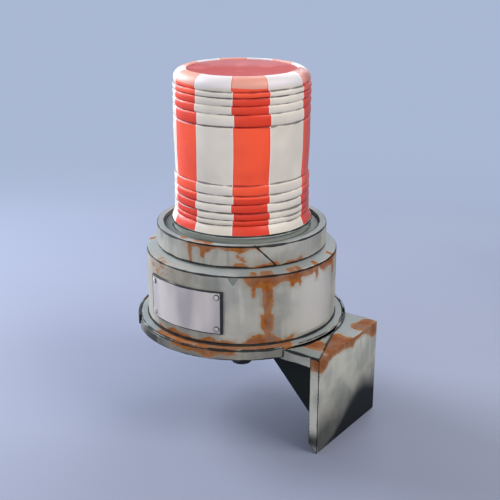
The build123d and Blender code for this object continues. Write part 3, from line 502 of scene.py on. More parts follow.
def moulded_cap(looks):
    """Moulded acrylic cap: red with a painted salmon sheen rising towards the side away from the camera,
    and a muted red rim painted as an edge highlight.
    """
    material, tree = new_material("moulded_acrylic_cap")
    fade, edge = (add(tree, "Attribute", out="Fac", attribute_name=key) for key in ("fade", "edge_mm"))
    # Painted sheen: red turning salmon away from the camera.
    colour = coat(tree, looks.cap_red, looks.cap_sheen, fade, 0.6, 1.25)
    colour = coat(tree, colour, "#D98A80", grain(tree, 20, 3.0), 0.52, 0.7, 0.2)
    # Painted highlight: a muted red round the rim.
    colour = coat(tree, colour, "#A23A2E", frayed(tree, edge, grain(tree, 15, 2.0), 0.8), 1.2, 0.2, 0.7)
    fine = grain(tree, 2.5, 3.0)
    shade(tree, colour, 0.5, fine, 0.04, **{"IOR": 1.49, "Specular IOR Level": 0.3})
    return material


# slot: material name, light, dark, cloud mm, roughness, metallic, bump mm, other shader values
FINISHES = {
    # zinc-plated steel screws: patchy grey spangle gone dull, a little white bloom
    "zinc_steel": ("zinc_plated_steel", "#A9ABA8", "#6F7270", 3.0, 0.42, 0.9, 0.05, {}),
    # hot-dip galvanised sheet: broad frosty spangle
    "zinc_sheet": ("galvanised_sheet", "#A9ABAA", "#8B8E8F", 6.0, 0.6, 0.8, 0.04, {}),
    # near-black enamel standing in for the shadow under the bracket's arm, dull, thinly brushed
    "gusset_paint": ("sooty_black_enamel", "#0A1213", "#131B1C", 9.0, 0.82, 0.0, 0.08,
                     {"Specular IOR Level": 0.25}),
    # moulded neoprene: near black, dusty grey bloom, soft and rough
    "seal_rubber": ("moulded_neoprene", "#16181A", "#2B2D2D", 5.0, 0.8, 0.0, 0.10, {}),
    # moulded black nylon 6: fine spark texture and a dull sheen
    "black_nylon": ("moulded_black_nylon", "#0E1113", "#1D2123", 2.2, 0.5, 0.0, 0.08, {"IOR": 1.53}),
    # turned free-cutting steel: bright with faint rings
    "turned_steel": ("turned_steel", "#B8B9BB", "#8A8B8D", 1.5, 0.28, 1.0, 0.02, {}),
    # glazed steatite lampholder: warm white, glossy
    "ceramic_white": ("glazed_steatite", "#E4E1D6", "#D2CDBE", 8.0, 0.22, 0.0, 0.03, {}),
    # nickel-plated brass bulb base: yellow showing through
    "bulb_metal": ("plated_brass_shell", "#C9B98F", "#A89055", 2.0, 0.3, 1.0, 0.03, {}),
    # machined brass: warm, tarnished in spots
    "bush_brass": ("machined_brass", "#C6A258", "#8F713A", 3.0, 0.34, 1.0, 0.02, {}),
    # moulded acetal: translucent-looking ivory white
    "gear_nylon": ("moulded_acetal", "#E2DFD2", "#CBC6B4", 5.0, 0.45, 0.0, 0.03, {"IOR": 1.48}),
    # bright-anodised spun aluminium reflector: nearly a mirror
    "reflector_mirror": ("bright_anodised_aluminium", "#DADCDD", "#C2C4C6", 12.0, 0.09, 1.0, 0.01, {}),
    # lacquered motor can: grey steel with a slight orange peel
    "motor_steel": ("lacquered_steel_can", "#8D9092", "#6E7173", 4.0, 0.36, 0.7, 0.04, {}),
    # extruded PVC insulation: red, slightly waxy
    "wire_insulation": ("extruded_pvc", "#9E1C16", "#7A120E", 2.5, 0.42, 0.0, 0.03, {"IOR": 1.54}),
    # blown soda-lime glass: clear with slight waves
    "bulb_glass": ("blown_glass", "#F4F4EE", "#ECECE6", 6.0, 0.04, 0.0, 0.02,
                   {"IOR": 1.5, "Transmission Weight": 0.95}),
}


def plain_finish(slot):
    """One of the table's finishes: two tones clouded together, dirt in the low spots, fine bump."""
    name, light, dark, cloud_mm, roughness, metallic, bump_mm, fixed = FINISHES[slot]
    material, tree = new_material(name)
    cloud = grain(tree, cloud_mm, 4.0)
    fine = grain(tree, 0.8, 3.0)
    colour = coat(tree, light, dark, cloud, *CLOUDED)
    colour = coat(tree, colour, dark, fine, 0.56, 0.7, 0.5)
    glossy, dull = roughness * 0.85, min(1.0, roughness * 1.15)
    rough = add(tree, "MapRange", {0: cloud, 1: 0.3, 2: 0.7, 3: glossy, 4: dull})
    shade(tree, colour, rough, fine, bump_mm, Metallic=metallic, **fixed)
    return material


def dress(node, material):
    """Give a CAD node this material in every slot."""
    mesh = frame["nodes"][node].data
    mesh.materials.clear()
    mesh.materials.append(material)


# ------------------------------------------------------------------ where the rust and scuffs are
def arc_mm(angle, centre, radius):
    """Signed distance round the girth from a centre angle in degrees, in millimetres."""
    return np.radians((angle - centre + 180) % 360 - 180) * radius


def drip(angle, height, radius, centre, top, bottom, wide, foot=1.0):
    """Signed depth inside a run of rust: half width tapers from wide at top to foot times it at bottom."""
    share = np.clip((top - height) / (top - bottom), 0, 1)
    half = wide * (1 - share * (1 - foot)) * (0.94 + 0.12 * np.sin(height / 4.6 + centre))
    return np.minimum.reduce([half - np.abs(arc_mm(angle, centre, radius)), height - bottom, top + 6 - height])


def within(angle, start, end, radius):
    """Distance inside the arc from start to end degrees, in millimetres, below 0 outside it."""
    return np.minimum(arc_mm(angle, start, radius), arc_mm(end, angle, radius))


# Runs of rust: bearing in degrees, top, bottom, half width at the top, share of that left at the bottom.
DRUM_RUNS = (
    (-40.1, 71, 9, 6.2, 0.62), (-40.1, 26, 15, 7.4, 0.7), (-48.0, 71, 50, 3.4, 0.3), (-24.8, 71, 56, 4.4, 0.5),
    (-19.6, 71, 56, 3.0, 0.3), (-6, 71, 57, 3.4, 0.35), (14, 71, 52, 3.8, 0.5), (96, 71, 34, 4.4, 0.4),
    (104, 71, 52, 3.0, 0.4), (166, 71, 26, 4.8, 0.4), (-152, 71, 44, 3.6, 0.4),
)
COLLAR_RUNS = (
    (-89.8, 96, 77, 2.7, 0.5), (-80.7, 96, 84, 3.2, 0.3), (70, 96, 80, 3.0, 0.4), (178, 96, 78, 3.4, 0.4),
)


def drum_rust(angle, radius, height):
    """Rust along the rolled top edge and the foot, with long and short runs between."""
    along, drop = arc_mm(angle, 0, DRUM_RADIUS), DRUM_EDGE - height
    wave = 2.2 * np.sin(along / 7.0) + 1.6 * np.sin(along / 3.4 + 1)
    depth = 7.0 + wave + 5 * np.exp(-((angle + 36) / 12) ** 2)
    top = np.minimum(depth - drop, within(angle, -53, 28, DRUM_RADIUS) * 0.5)
    back = np.minimum(4 + wave - drop, 34 - np.abs(arc_mm(angle, 98, DRUM_RADIUS)))
    left = np.minimum(5 + wave - drop, 26 - np.abs(arc_mm(angle, 166, DRUM_RADIUS)))
    shelf = np.where(height > DRUM_EDGE - 0.1, 0.3 * wave - 0.5 - (DRUM_RADIUS - radius), 9)
    foot = 5.0 + 0.8 * wave + 7 * np.exp(-((angle + 41) / 8) ** 2) - height
    foot = np.minimum(foot, within(angle, -112, -24, DRUM_RADIUS) * 0.4)
    smudge = 0.4 - 0.06 * np.abs(arc_mm(angle, -110, DRUM_RADIUS)) - 0.09 * np.abs(height - 66)
    runs = [drip(angle, height, DRUM_RADIUS, *run) for run in DRUM_RUNS]
    best = np.maximum.reduce([smudge, foot, *(np.minimum(edge, shelf) for edge in (top, back, left)), *runs])
    return np.where(radius > 90, best, np.minimum(best, -3.0))


def drum_scuff(angle, radius, height):
    """Two triangular scuffs hanging from the top edge, each its half width, height and bearing."""
    up = DRUM_EDGE - 0.9 - height
    chips = [
        np.minimum(wide * (1 - up / deep) - np.abs(arc_mm(angle, bearing, DRUM_RADIUS)), up)
        for wide, deep, bearing in ((6.2, 9.5, -59.6), (5, 7, 62))
    ]
    return np.maximum(*chips)


def collar_rust(angle, radius, height):
    """Rust under the collar's top edge with runs, ending at the slanted seam, and a stain on top."""
    along = arc_mm(angle, 0, COLLAR_RADIUS)
    wave = 1.6 * np.sin(along / 5.0) + 1.2 * np.sin(along / 2.6 + 2)
    top = np.minimum(4.2 + wave - (97.0 - height), within(angle, -93.5, -44, COLLAR_RADIUS) * 0.5)
    low = np.minimum(3.0 + wave - (height - 76), within(angle, -60, -12, COLLAR_RADIUS) * 0.5)
    seam_side = within(angle, -66, -34 - 0.66 * (height - 76), COLLAR_RADIUS)
    patch = np.minimum(8 + wave * 2 - np.abs(height - 84), seam_side * 0.6)
    runs = [drip(angle, height, COLLAR_RADIUS, *run) for run in COLLAR_RUNS]
    side = np.maximum.reduce([top, low, np.minimum(patch - 6.0, -0.6), *runs])
    shelf = 4.0 + 1.5 * wave - np.abs(arc_mm(angle, -84, 80)) * 0.25 - np.abs(radius - 81)
    return np.where(height > 97.4, np.minimum(shelf, 4), np.where(radius > 84, side, -4))


def rim_rust(angle, radius, height):
    """Rust over the rim band from the left of the nameplate to the bracket."""
    along = arc_mm(angle, 0, RIM_RADIUS)
    wave = 2.0 * np.sin(along / 8.0) + 1.4 * np.sin(along / 3.7 + 1)
    front = np.minimum(within(angle, -94, -57, RIM_RADIUS) * 0.5, 6 + wave + height)
    far = 16 + wave - np.abs(arc_mm(angle, 120, RIM_RADIUS))
    left = 9 + wave - np.abs(arc_mm(angle, -160, RIM_RADIUS))
    return np.maximum.reduce([front, far, left]) - 0.2


def lens_stripe(angle, radius, height):
    """Signed distance into the red sectors, every other one of twelve, their joints wandering by up
    to 1.7 mm and stepping sideways from rib to rib."""
    step = np.searchsorted(np.array(LOWER_GROOVES + UPPER_GROOVES), height)
    ribbed = (height < LOWER_GROOVES[-1]) | (height > UPPER_GROOVES[0])
    wander = np.where(ribbed, 1.2 * np.sin(step * 2.4 + 0.6), 0) + 0.5 * np.sin(height / 17.0)
    turned_by = angle + np.degrees(wander / 66.0)
    gap = (turned_by[..., None] - np.array(LENS_JOINTS) + 180) % 360 - 180
    nearest_joint = np.abs(gap).argmin(-1)
    away = np.take_along_axis(gap, nearest_joint[..., None], -1)[..., 0]
    into_red = np.where(nearest_joint % 2 == 0, 1, -1)
    return np.radians(away) * radius * into_red


def lens_groove(angle, radius, height):
    """Distance to the nearest groove, the grooves wandering up and down by under a millimetre."""
    shift = 0.35 * np.sin(np.radians(angle) * 4 + height / 13)
    weight = np.array([-0.1, -0.1, 0.45, 0.0, -0.1, 0.1, 0.3, -0.2, -0.4, 0.2, 0.2])
    marks = np.array(LOWER_GROOVES + UPPER_GROOVES)
    gaps = np.abs((height + shift)[..., None] - marks) - weight
    return np.where(radius > 64.5, gaps.min(-1), 9)


# ------------------------------------------------------------------ sizes and colours a user can change
def colour_property(name, text, code):
    """Colour setting whose default is an sRGB hex value."""
    return bpy.props.FloatVectorProperty(
        name=name, description=text, subtype="COLOR", size=4, min=0, max=1, default=linear(code)
    )


def length_property(name, text, usual, low, high):
    """Length setting kept in metres, its default and limits given in millimetres."""
    return bpy.props.FloatProperty(
        name=name, description=text, unit="LENGTH", default=usual * MM, min=low * MM, max=high * MM
    )


class BeaconLooks(bpy.types.PropertyGroup):
    """Colours of the beacon's coats and mouldings."""

    enamel_light: colour_property("Enamel light", "Clean part of the grey-green enamel", "#A3A29A")
    enamel_deep: colour_property("Enamel deep", "Clouded part of the grey-green enamel", "#848681")
    enamel_skylit_top: colour_property("Enamel top", "Painted bluish skylight on upper faces", "#838C8E")
    # Painted skylight: the bluish grey given to upward faces.
    ink: colour_property("Edge dirt", "Dirt gathered along the edges", "#0C1416")
    rust_light: colour_property("Rust light", "Thin orange rust", "#945619")
    rust_deep: colour_property("Rust deep", "Thick brown rust", "#74390C")
    plate_light: colour_property("Nameplate light", "Bright part of the nameplate", "#C4BFBC")
    plate_shade: colour_property("Nameplate shade", "Violet haze on the nameplate", "#A5A0A4")
    lens_red: colour_property("Lens red", "Red sectors of the lens", "#F2532E")
    lens_red_deep: colour_property("Lens red deep", "Deeper red clouds", "#E2482A")
    lens_white: colour_property("Lens white", "White sectors of the lens", "#D8D2C8")
    lens_white_deep: colour_property("Lens white deep", "Greyer clouds in the white", "#CBC6BC")
    cap_red: colour_property("Cap red", "Cap, near edge", "#A02010")
    # Painted sheen: the salmon the cap turns on its far side.
    cap_sheen: colour_property("Cap sheen", "Cap, painted salmon sheen", "#A65E5F")


class BeaconShapes(bpy.types.PropertyGroup):
    """Sizes of the beacon's wear and of its small features."""

    dents: length_property("Dents", "Deepest dent in the turned pieces", 0.35, 0, 1)
    ink_width: length_property("Edge dirt width", "Usual width of the dirt along an edge", 1.15, 0, 3)
    rib_bulge: length_property("Rib bulge", "How far a lens rib stands past its grooves", 1.4, 0, 1.4)
    seam_width: length_property("Seam width", "Width of the collar's slanted seam", 1.0, 0.4, 2)


class BeaconStudio(bpy.types.PropertyGroup):
    """Floor, lights and camera of the small studio."""

    floor_colour: colour_property("Floor", "Pale painted floor", "#7F869A")
    lamp_level: bpy.props.FloatProperty(
        name="Lamp level", description="Scales every lamp", default=1.0, min=0, max=4
    )
    focal_length: bpy.props.FloatProperty(
        name="Focal length", description="Lens of the camera", default=70.9, min=20, max=200, unit="CAMERA"
    )


def settings():
    """The three groups of settings kept on the scene."""
    scene = bpy.context.scene
    return scene.beacon_looks, scene.beacon_shapes, scene.beacon_studio


# ------------------------------------------------------------------ pieces
class BEACON_OT_drum(bpy.types.Operator):
    """Make the drum's rolled steel wall and shoulder"""

    bl_idname = "beacon.drum"
    bl_label = "Drum"

    def execute(self, context):
        """Outline r(s), z(s) of wall, rolled edge, shoulder and neck, turned about the lamp axis."""
        looks, shapes, _ = settings()
        low, high = above_seat("drum_shell")
        outer = reach("drum_shell")
        wall, shoulder, neck, edge = 2.5, 75.5, 82.5, DRUM_EDGE
        outline = rounded([
            (outer, low, 0.3), (outer, edge, 1.3), (neck, shoulder, 0.4), (neck, high, 0.6),
            (74.0, high, 0.4), (74.0, shoulder - 3.5, 0.6), (outer - wall, edge - 3.2, 0.6),
            (outer - wall, low, 0.3),
        ])
        inked = [(outer, low), (outer, edge - 0.6), (neck, shoulder), (neck, high)]
        material = old_enamel("weathered_enamel_drum", looks, ink_mm=shapes.ink_width / MM)
        # Painted highlight: a lighter band on the wall round bearing -8, facing the key lamp, and a faint
        # narrow one at -62.
        tone = lambda angle, radius, height: (
            0.95 * np.exp(-((angle + 8) / 18) ** 2) * (height > 6) * (radius > 96)
            + 0.35 * np.exp(-((angle + 62) / 7) ** 2) + 0 * height
        )
        piece = turned(
            "beacon_drum", outline, inked, "housing", "housing_paint", material, 420,
            shapes.dents / MM, 3, drum_rust, chip_mm=drum_scuff, tone=tone,
        )
        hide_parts("drum_shell")
        return {"FINISHED"}


class BEACON_OT_rim(bpy.types.Operator):
    """Make the two rim bands and paint the pan"""

    bl_idname = "beacon.rim"
    bl_label = "Rim bands and pan"

    def execute(self, context):
        """Strip outline r(s), z(s) swept round the lamp axis between the joints."""
        looks, shapes, _ = settings()
        ink = shapes.ink_width / MM
        for node, start, end in (("rim_band_front", -126.7, -33.2), ("rim_band_rear", 33.2, 226.3)):
            band_low, band_high = above_seat(node)
            inner, outer = 105.45, 108.35
            outline = rounded([
                (inner, band_low, 0.5), (outer, band_low, 1.0), (outer, band_high, 1.2),
                (inner, band_high, 0.4),
            ], 0.8)
            inked = [(outer, band_low), (outer, band_high), (inner, band_high)]
            material = old_enamel(
                "weathered_enamel_" + node, looks, 1.25 * ink, pale="#918F86", deep="#706F69", soot=True
            )
            piece = curved_strip(
                "beacon_" + node, outline, inked, start, end, "housing", "housing_paint", material, rim_rust,
                # Painted shade: a dark crescent on the band's lower outer face round bearing -111.
                soot=lambda angle, radius, height: (
                    0.72 * np.clip(1.4 - np.abs(angle + 111) / 11, 0, 1) * (radius > 107.5) * (height < -2.2)
                ),
            )
            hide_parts(node)
        pan_rim = 105.4
        rings = [(pan_rim, 0.0), (pan_rim, above_seat("base_pan")[0]), (DRUM_RADIUS, 0.0)]
        dress("base_pan", old_enamel("weathered_enamel_pan", looks, 0.8 * ink, rings=rings))
        return {"FINISHED"}


class BEACON_OT_nameplate(bpy.types.Operator):
    """Make the blank curved nameplate with its rivets"""

    bl_idname = "beacon.nameplate"
    bl_label = "Nameplate"

    def execute(self, context):
        """Grid (angle, height) at radius R + a soft pillow, closed by its back and four sides."""
        looks, _, _ = settings()
        low, high = above_seat("nameplate")
        start, end, front, back = -117.2, -65.2, 99.95, 97.55
        material = rolled_aluminium(looks)
        outline = rounded([(back, low, 0.2), (front, low, 0.5), (front, high, 0.5), (back, high, 0.2)], 0.9)
        inked = [(front, low), (front, high), (back, low), (back, high)]
        piece = curved_strip(
            "beacon_nameplate", outline, inked, start, end, "housing", "plate_aluminium", material,
            # Painted shadow: a dark band along the last 1.8 degrees of the plate.
            shade=lambda angle, radius, height: np.where(angle > end - 1.8, 1.0, -1.0) + 0 * height,
        )
        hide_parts("nameplate")
        turn = np.linspace(0, 2 * np.pi, 36, endpoint=False)
        profile = np.array([(2.88, 0.0), (2.88, 0.5), (2.6, 0.95), (1.9, 1.3), (1.0, 1.5), (0.3, 1.55)])
        for number, (side, up) in enumerate(((-1, -1), (-1, 1), (1, -1), (1, 1))):
            centre = (start + end) / 2 + side * 22.6
            middle = (low + high) / 2 + up * 16.3
            away = profile[:, :1] * np.cos(turn)[None]
            rise = profile[:, :1] * np.sin(turn)[None]
            angle = np.radians(centre) + away / front
            rings = place(front + profile[:, 1:], angle, middle + rise)
            faint = 0.9 if side < 0 else 0.0
            edge = np.array([0.2, 0.4, 0.5, 1.6, 2.0, 2.4])[:, None] + faint
            rivet = skin(
                f"beacon_rivet_{number + 1}", rings, "housing", "plate_aluminium", material,
                edge_mm=edge + 0 * away, shade=-1.0 + 0 * away,
            )
            if number == 0:
                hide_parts("nameplate_rivets")
        return {"FINISHED"}


class BEACON_OT_collar(bpy.types.Operator):
    """Make the screw collar with its slanted seam, and the ring at the lens's foot"""

    bl_idname = "beacon.collar"
    bl_label = "Collar and foot ring"

    def execute(self, context):
        """Collar outline turned about the lamp axis, cut in by a slanted groove of half-sine depth."""
        looks, shapes, _ = settings()
        ink = shapes.ink_width / MM
        low, high = above_seat("lens_collar")
        outer = reach("lens_collar")
        ledge = high - 3.3
        step_in, bore, wall, under = 79.0, 69.65, 83.0, 92.6
        outline = rounded([
            (outer, low, 0.5), (outer, high, 1.3), (step_in, high, 0.5), (step_in, ledge, 0.5),
            (bore, ledge, 0.5), (bore, under, 0.2), (wall, under, 0.3), (wall, low, 0.4),
        ], 0.9)
        inked = [(outer, low), (outer, low + 0.8), (outer, high - 0.5), (outer, high - 1.0), (step_in, high),
                 (step_in, ledge), (bore, ledge)]
        material = old_enamel("weathered_enamel_collar", looks, 1.05 * ink)
        angle = np.concatenate([np.linspace(-60, -18, 260), np.linspace(-18, 300, 420)[1:-1]])
        angle = ((angle + 180) % 360 - 180)[:, None]
        angle, radius, height = swept(angle, outline)
        share = (height - low) / (high - low)
        seam = arc_mm(angle, -39.1, outer) + 11.0 * (2 * share - 1)
        seam_gap = np.where(radius > outer - 2.2, np.abs(seam), 9.0)
        half = shapes.seam_width / MM / 2
        cut = 0.9 * np.clip(1 - seam_gap / (1.6 * half), 0, 1)
        worn = shapes.dents / MM * (1 + waves(6 * np.cos(np.radians(angle)), height / 9, 8)) / 2
        fields = {
            "edge_mm": np.minimum(nearest(outline, inked)[None], np.maximum(seam_gap - half * 0.4, 0)),
            "rust_mm": collar_rust(angle, radius, height),
            # Painted highlight: a lighter band round bearing -12, facing the key lamp.
            "tone": 0.4 * np.exp(-((angle + 12) / 20) ** 2) * (radius > 84) + 0 * height,
            # Painted shade: the collar's recess inside the step is darkened through the scuff coat.
            "chip_mm": np.where((radius < 78.6) & (height < 97), 0.7, -9.0),
        }
        rings = place(radius - worn - cut, np.radians(angle), height)
        piece = skin("beacon_collar", rings, "lens_unit", "housing_paint", material, joined=True, **fields)
        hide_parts("lens_collar")
        foot_low, foot_high = above_seat("lens_foot_ring")
        inner, outer = 69.3, 71.35
        ring = rounded([
            (outer, foot_low, 0.7), (outer, foot_high, 0.3), (inner, foot_high, 0.2), (inner, foot_low, 0.2),
        ], 0.7)
        inked = [(outer, foot_high), (outer, foot_high - 0.7)]
        paint = old_enamel("weathered_enamel_foot_ring", looks, 0.9 * ink, pale="#9BA29D", deep="#838B88")
        piece = turned("beacon_foot_ring", ring, inked, "lens_unit", "housing_paint", paint)
        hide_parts("lens_foot_ring")
        return {"FINISHED"}


class BEACON_OT_lens(bpy.types.Operator):
    """Make the striped lens with its ribs, and its dished cap"""

    bl_idname = "beacon.lens"
    bl_label = "Lens and cap"

    def execute(self, context):
        """Rib k: r = groove + bulge sqrt(1 - u^2), u from -1 to 1 across the rib; waist straight;
        shoulder an arc; the whole turned about the lamp axis and pulled in by up to half a dent."""
        looks, shapes, _ = settings()
        bulge = shapes.rib_bulge / MM
        across = np.linspace(-1, 1, 13)[:-1]
        ribs = [(70.6, 102.5), (70.1, 104.5), (69.0, 107.6), (67.8, 110.2)]
        for grooves in (LOWER_GROOVES, UPPER_GROOVES):
            for low, high in zip(grooves, grooves[1:]):
                crown = LENS_NECK + bulge * np.sqrt(np.clip(1 - across ** 2, 0, 1)) ** 0.8
                ribs += list(zip(crown, low + (high - low) * (across + 1) / 2))
            ribs.append((LENS_NECK, grooves[-1]))
            if grooves is LOWER_GROOVES:
                belly = np.linspace(0, 1, 24)
                waist = LENS_NECK + 1.2 * belly + 0.35 * np.sin(np.pi * belly)
                ribs += list(zip(waist, np.linspace(grooves[-1] + 1.2, UPPER_GROOVES[0] - 1.2, 24)))
        turn = np.linspace(0, np.pi / 2, 9)[1:]
        ribs += [(66.9, 240.4), (67.2, 241.6)]
        ribs += list(zip(56.6 + 10.6 * np.cos(turn), SHOULDER + 9.65 * np.sin(turn)))
        bore, flange, flange_foot = 62.5, 80.9, 88.05
        inside = [(55.4, 252.1), (54.6, 251.7), (54.2, 251.2), (54.2, 246.4), (50.3, 246.3), (50.3, 243.0),
                  (59.0, 242.9), (bore, 239.4), (bore, 170.0), (bore, flange_foot), (flange, flange_foot),
                  (flange, 92.45), (69.0, 92.5), (69.0, 102.5)]
        outline = np.array(ribs + inside, float)
        material = moulded_lens(looks)
        angle = np.linspace(-180, 180, 540, endpoint=False)[:, None]
        angle, radius, height = swept(angle, outline)
        outside = (np.arange(len(outline)) <= len(ribs))[None]
        dented = 0.5 * shapes.dents / MM * (1 + waves(5 * np.cos(np.radians(angle)), height / 14, 11))
        facet = 0.25 * (1 - np.cos(np.radians(angle + 45.5) * 10))
        fields = {
            "stripe_mm": lens_stripe(angle, radius, height),
            "groove_mm": lens_groove(angle, radius, height),
            # Painted highlight on the shoulder, by height above its foot.
            "shoulder_highlight_mm": height - SHOULDER + 0.5 * np.sin(np.radians(angle) * 7),
            # Painted shade: dulls the sector between bearings 4 and 34.
            "dull": np.clip((angle - 4) / 12, 0, 1) * (angle < 34),
            # Painted shade: grey on the neck below the foot ring.
            "neck_shade": np.where((height < 102.6) & (radius < 69.5), 1.0, -1.0),
            "hot": np.where((height < 138) & (height > 101), 1.0, 0.0)
                   + np.where((height > 206) & (height < 233), 0.8, 0.0) + 0 * angle,
        }
        rings = place(radius - outside * (dented + facet), np.radians(angle), height)
        piece = skin("beacon_lens", rings, "lens_unit", "lens_plastic", material, joined=True, **fields)
        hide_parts("lens")
        _, top = above_seat("lens_cap")
        share = np.array([0.02, 0.15, 0.3, 0.45, 0.6, 0.72, 0.82, 0.9, 0.96])
        edge = reach("lens_cap")
        dish = top + 2.0 - 2.6 * (1 - share ** 2)
        profile = np.vstack([
            np.column_stack([edge * share * 0.92, dish - 2.5]),
            [(edge - 4.2, 246.45), (edge, 246.45), (edge, top + 1.7)],
            np.column_stack([edge * share[::-1], dish[::-1]]),
        ])
        turn = np.radians(np.linspace(-180, 180, 180, endpoint=False))[None]
        rings = place(profile[:, :1], turn, profile[:, 1:])
        # Painted sheen: rises with distance from the camera's bearing, -54.7 degrees.
        towards = profile[:, :1] * np.cos(turn + np.radians(54.7))
        fields = {
            "edge_mm": edge - profile[:, :1] + 0 * turn,
            "fade": np.clip(0.45 - towards / 55, 0, 1),
        }
        piece = skin("beacon_lens_cap", rings, "lens_unit", "cap_plastic", moulded_cap(looks), **fields)
        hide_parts("lens_cap")
        return {"FINISHED"}


# How far rust hangs down the wall plate's face and how high the painted shade stands on it (mm), at stations
# along Y.
WALL_RUST_Y = [-57.5, -52, -44, -38, -30, -12, 0, 8, 14, 22, 32, 40, 46, 52, 57.5]
WALL_RUST_DEPTH = [14, 15.5, 13, 7, 6, 6, 9, 11, 6, 4, 5, 9, 14, 16, 12]
SHADE_Y = [-57.5, -46, -26.5, -2, 22, 35, 48, 57.5]
SHADE_TOP = [-45, -39, -32, -17, -3, -2, -8, -12]


def wall_rust(points):
    """Rust hanging from the wall plate's top edge: depth read off against y, minus the drop."""
    x, y, z = points[..., 0], points[..., 1], points[..., 2]
    drop = np.interp(y, WALL_RUST_Y, WALL_RUST_DEPTH) - (50 - z)
    return np.where(z > 49.3, arm_rust(points), drop - 0.15 * np.maximum(-x - 1, 0))


def arm_rust(points):
    """Two patches on the bracket's upper face, fading away from the wall, the far one thin."""
    x, y, z = points[..., 0], points[..., 1], points[..., 2]
    near = 19 + 3 * np.sin(x / 4) - np.hypot((x + 6) * 1.1, (y + 18) * 0.72)
    far = 12 + 2 * np.sin(y / 4) - np.hypot((x + 6) * 1.1, (y - 40) * 0.8)
    corner = 9 - np.hypot(x + 2, (y + 54) * 0.8)
    return np.where(z > 49.0, np.maximum.reduce([near, far, corner]), NO_RUST)


def corner_rust(points):
    """A patch of rust along the rear side of the corner plate."""
    x, y = points[..., 0], points[..., 1]
    return 8.5 + 1.5 * np.sin(y / 4) - np.hypot((x + 20) * 0.45, (y + 32) * 0.9)


class BEACON_OT_bracket(bpy.types.Operator):
    """Make the welded bracket's wall plate, corner plate, arm plate and gussets"""

    bl_idname = "beacon.bracket"
    bl_label = "Bracket"

    def execute(self, context):
        """Each plate is its rounded outline carried through its thickness."""
        looks, shapes, _ = settings()
        ink = shapes.ink_width / MM
        (back, face), (left, right), (low, high) = box_mm("bracket_wall_plate")
        wall = old_enamel(
            "weathered_enamel_wall_plate", looks, 0.9 * ink, pale="#B8B8AE", deep="#959891", soot=True
        )
        slope, foot = (back, low + 9), (-1.0, low)
        corners = [(*slope, 0.8), (*foot, 0.8), (face, low, 0.6), (face, high, 0.9), (back, high, 0.3)]
        piece = plate(
            "beacon_wall_plate", corners, (0, 2), left, right, "housing", "bracket_paint", wall,
            wall_rust, rounding=0.6, step=2.0, marks=[foot, slope],
            bare=lambda p: (p[..., 2] > 48.6) & (np.abs(p[..., 1]) < 56.5),
        )
        points = np.empty(len(piece.data.vertices) * 3, np.float32)
        piece.data.vertices.foreach_get("co", points)
        y, z = (points.reshape(-1, 3)[:, k] / MM for k in (1, 2))
        # Painted shade on the wall plate: near black rising from the bottom, darker towards the bottom, and a
        # dark band across the front edge near z -38.
        soot = np.clip((np.interp(y, SHADE_Y, SHADE_TOP) - z + 15) / 33, 0, 1)
        soot = np.maximum(soot, np.clip((24 - z) / 75, 0, 0.72))
        soot = np.where(y < -56.8, 0.85 * np.exp(-((z + 38) / 9) ** 2), soot)
        piece.data.attributes.new("soot", "FLOAT", "POINT").data.foreach_set("value", soot.astype(np.float32))
        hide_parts("bracket_wall_plate")

        (_, x_high), (y_low, _), (z_low, z_high) = box_mm("bracket_corner_plate")
        # Its upward faces take a darker copy of the painted skylight.
        corner = old_enamel("weathered_enamel_corner_plate", looks, 1.9 * ink, top="#78817F")
        bow = np.radians(np.linspace(-32.0, 32.0, 25))
        clear = RIM_RADIUS + 0.5
        hollow = [(AXIS_X / MM + clear * np.cos(a), clear * np.sin(a), 0.01) for a in bow]
        piece = plate(
            "beacon_corner_plate", [(x_high, y_low, 0.4), *hollow], (0, 1),
            z_low, z_high, "housing", "bracket_paint", corner, corner_rust, rounding=0.25, step=1.6,
        )
        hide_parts("bracket_corner_plate")
        (a_in, a_out), (a_left, a_right), (a_low, a_high) = box_mm("bracket_arm_plate")
        arm = old_enamel("weathered_enamel_arm", looks, 0.9 * ink)
        corners = [(a_in, a_left, 0.5), (a_out, a_left, 0.5), (a_out, a_right, 0.5), (a_in, a_right, 0.5)]
        piece = plate(
            "beacon_arm_plate", corners, (0, 1), a_low, a_high, "housing", "bracket_paint", arm, arm_rust,
            rounding=0.4, bare=lambda p: p[..., 0] > -12.5,
        )
        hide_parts("bracket_arm_plate")

        # The gussets are painted near black as the shadow under the arm.
        gusset = plain_finish("gusset_paint")
        (g_out, g_in), _, (g_low, g_high) = box_mm("bracket_gussets")
        outline = [(g_in, g_high, 0.4), (g_out, g_high, 0.4), (g_out, g_high - 8, 1.5), (g_in - 8, g_low, 1.5),
                   (g_in, g_low, 0.4)]
        half = 4
        for number, middle in enumerate((-22, 22)):
            piece = plate(
                f"beacon_gusset_{number + 1}", outline, (0, 2), middle - half, middle + half, "housing",
                "gusset_paint", gusset, rounding=0.6,
            )
            if number == 0:
                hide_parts("bracket_gussets")
        return {"FINISHED"}


class BEACON_OT_fittings(bpy.types.Operator):
    """Finish the screws, seals, gland and working parts"""

    bl_idname = "beacon.fittings"
    bl_label = "Fittings and works"

    def execute(self, context):
        """Every remaining node gets its slot's finish from the table."""
        made = {slot: plain_finish(slot) for slot in FINISHES}
        for row in frame["record"]["subparts"]:
            if row["material_slot"] in made:
                dress(row["node"], made[row["material_slot"]])
        return {"FINISHED"}


# Lamps: name, watts, side and place in metres, tint.
LAMPS = (
    ("key", 25, 1.0, (1.25, 0.15, 1.35), "#FFF6EC"),
    ("fill", 20, 1.4, (0.0, -1.9, 0.8), "#FFF9F2"),
    ("rim_left", 34, 0.7, (-1.4, -0.05, 0.8), "#F6F9FF"),
    ("rim_back", 14, 0.9, (-0.5, 1.5, 1.2), "#F6F8FF"),
)
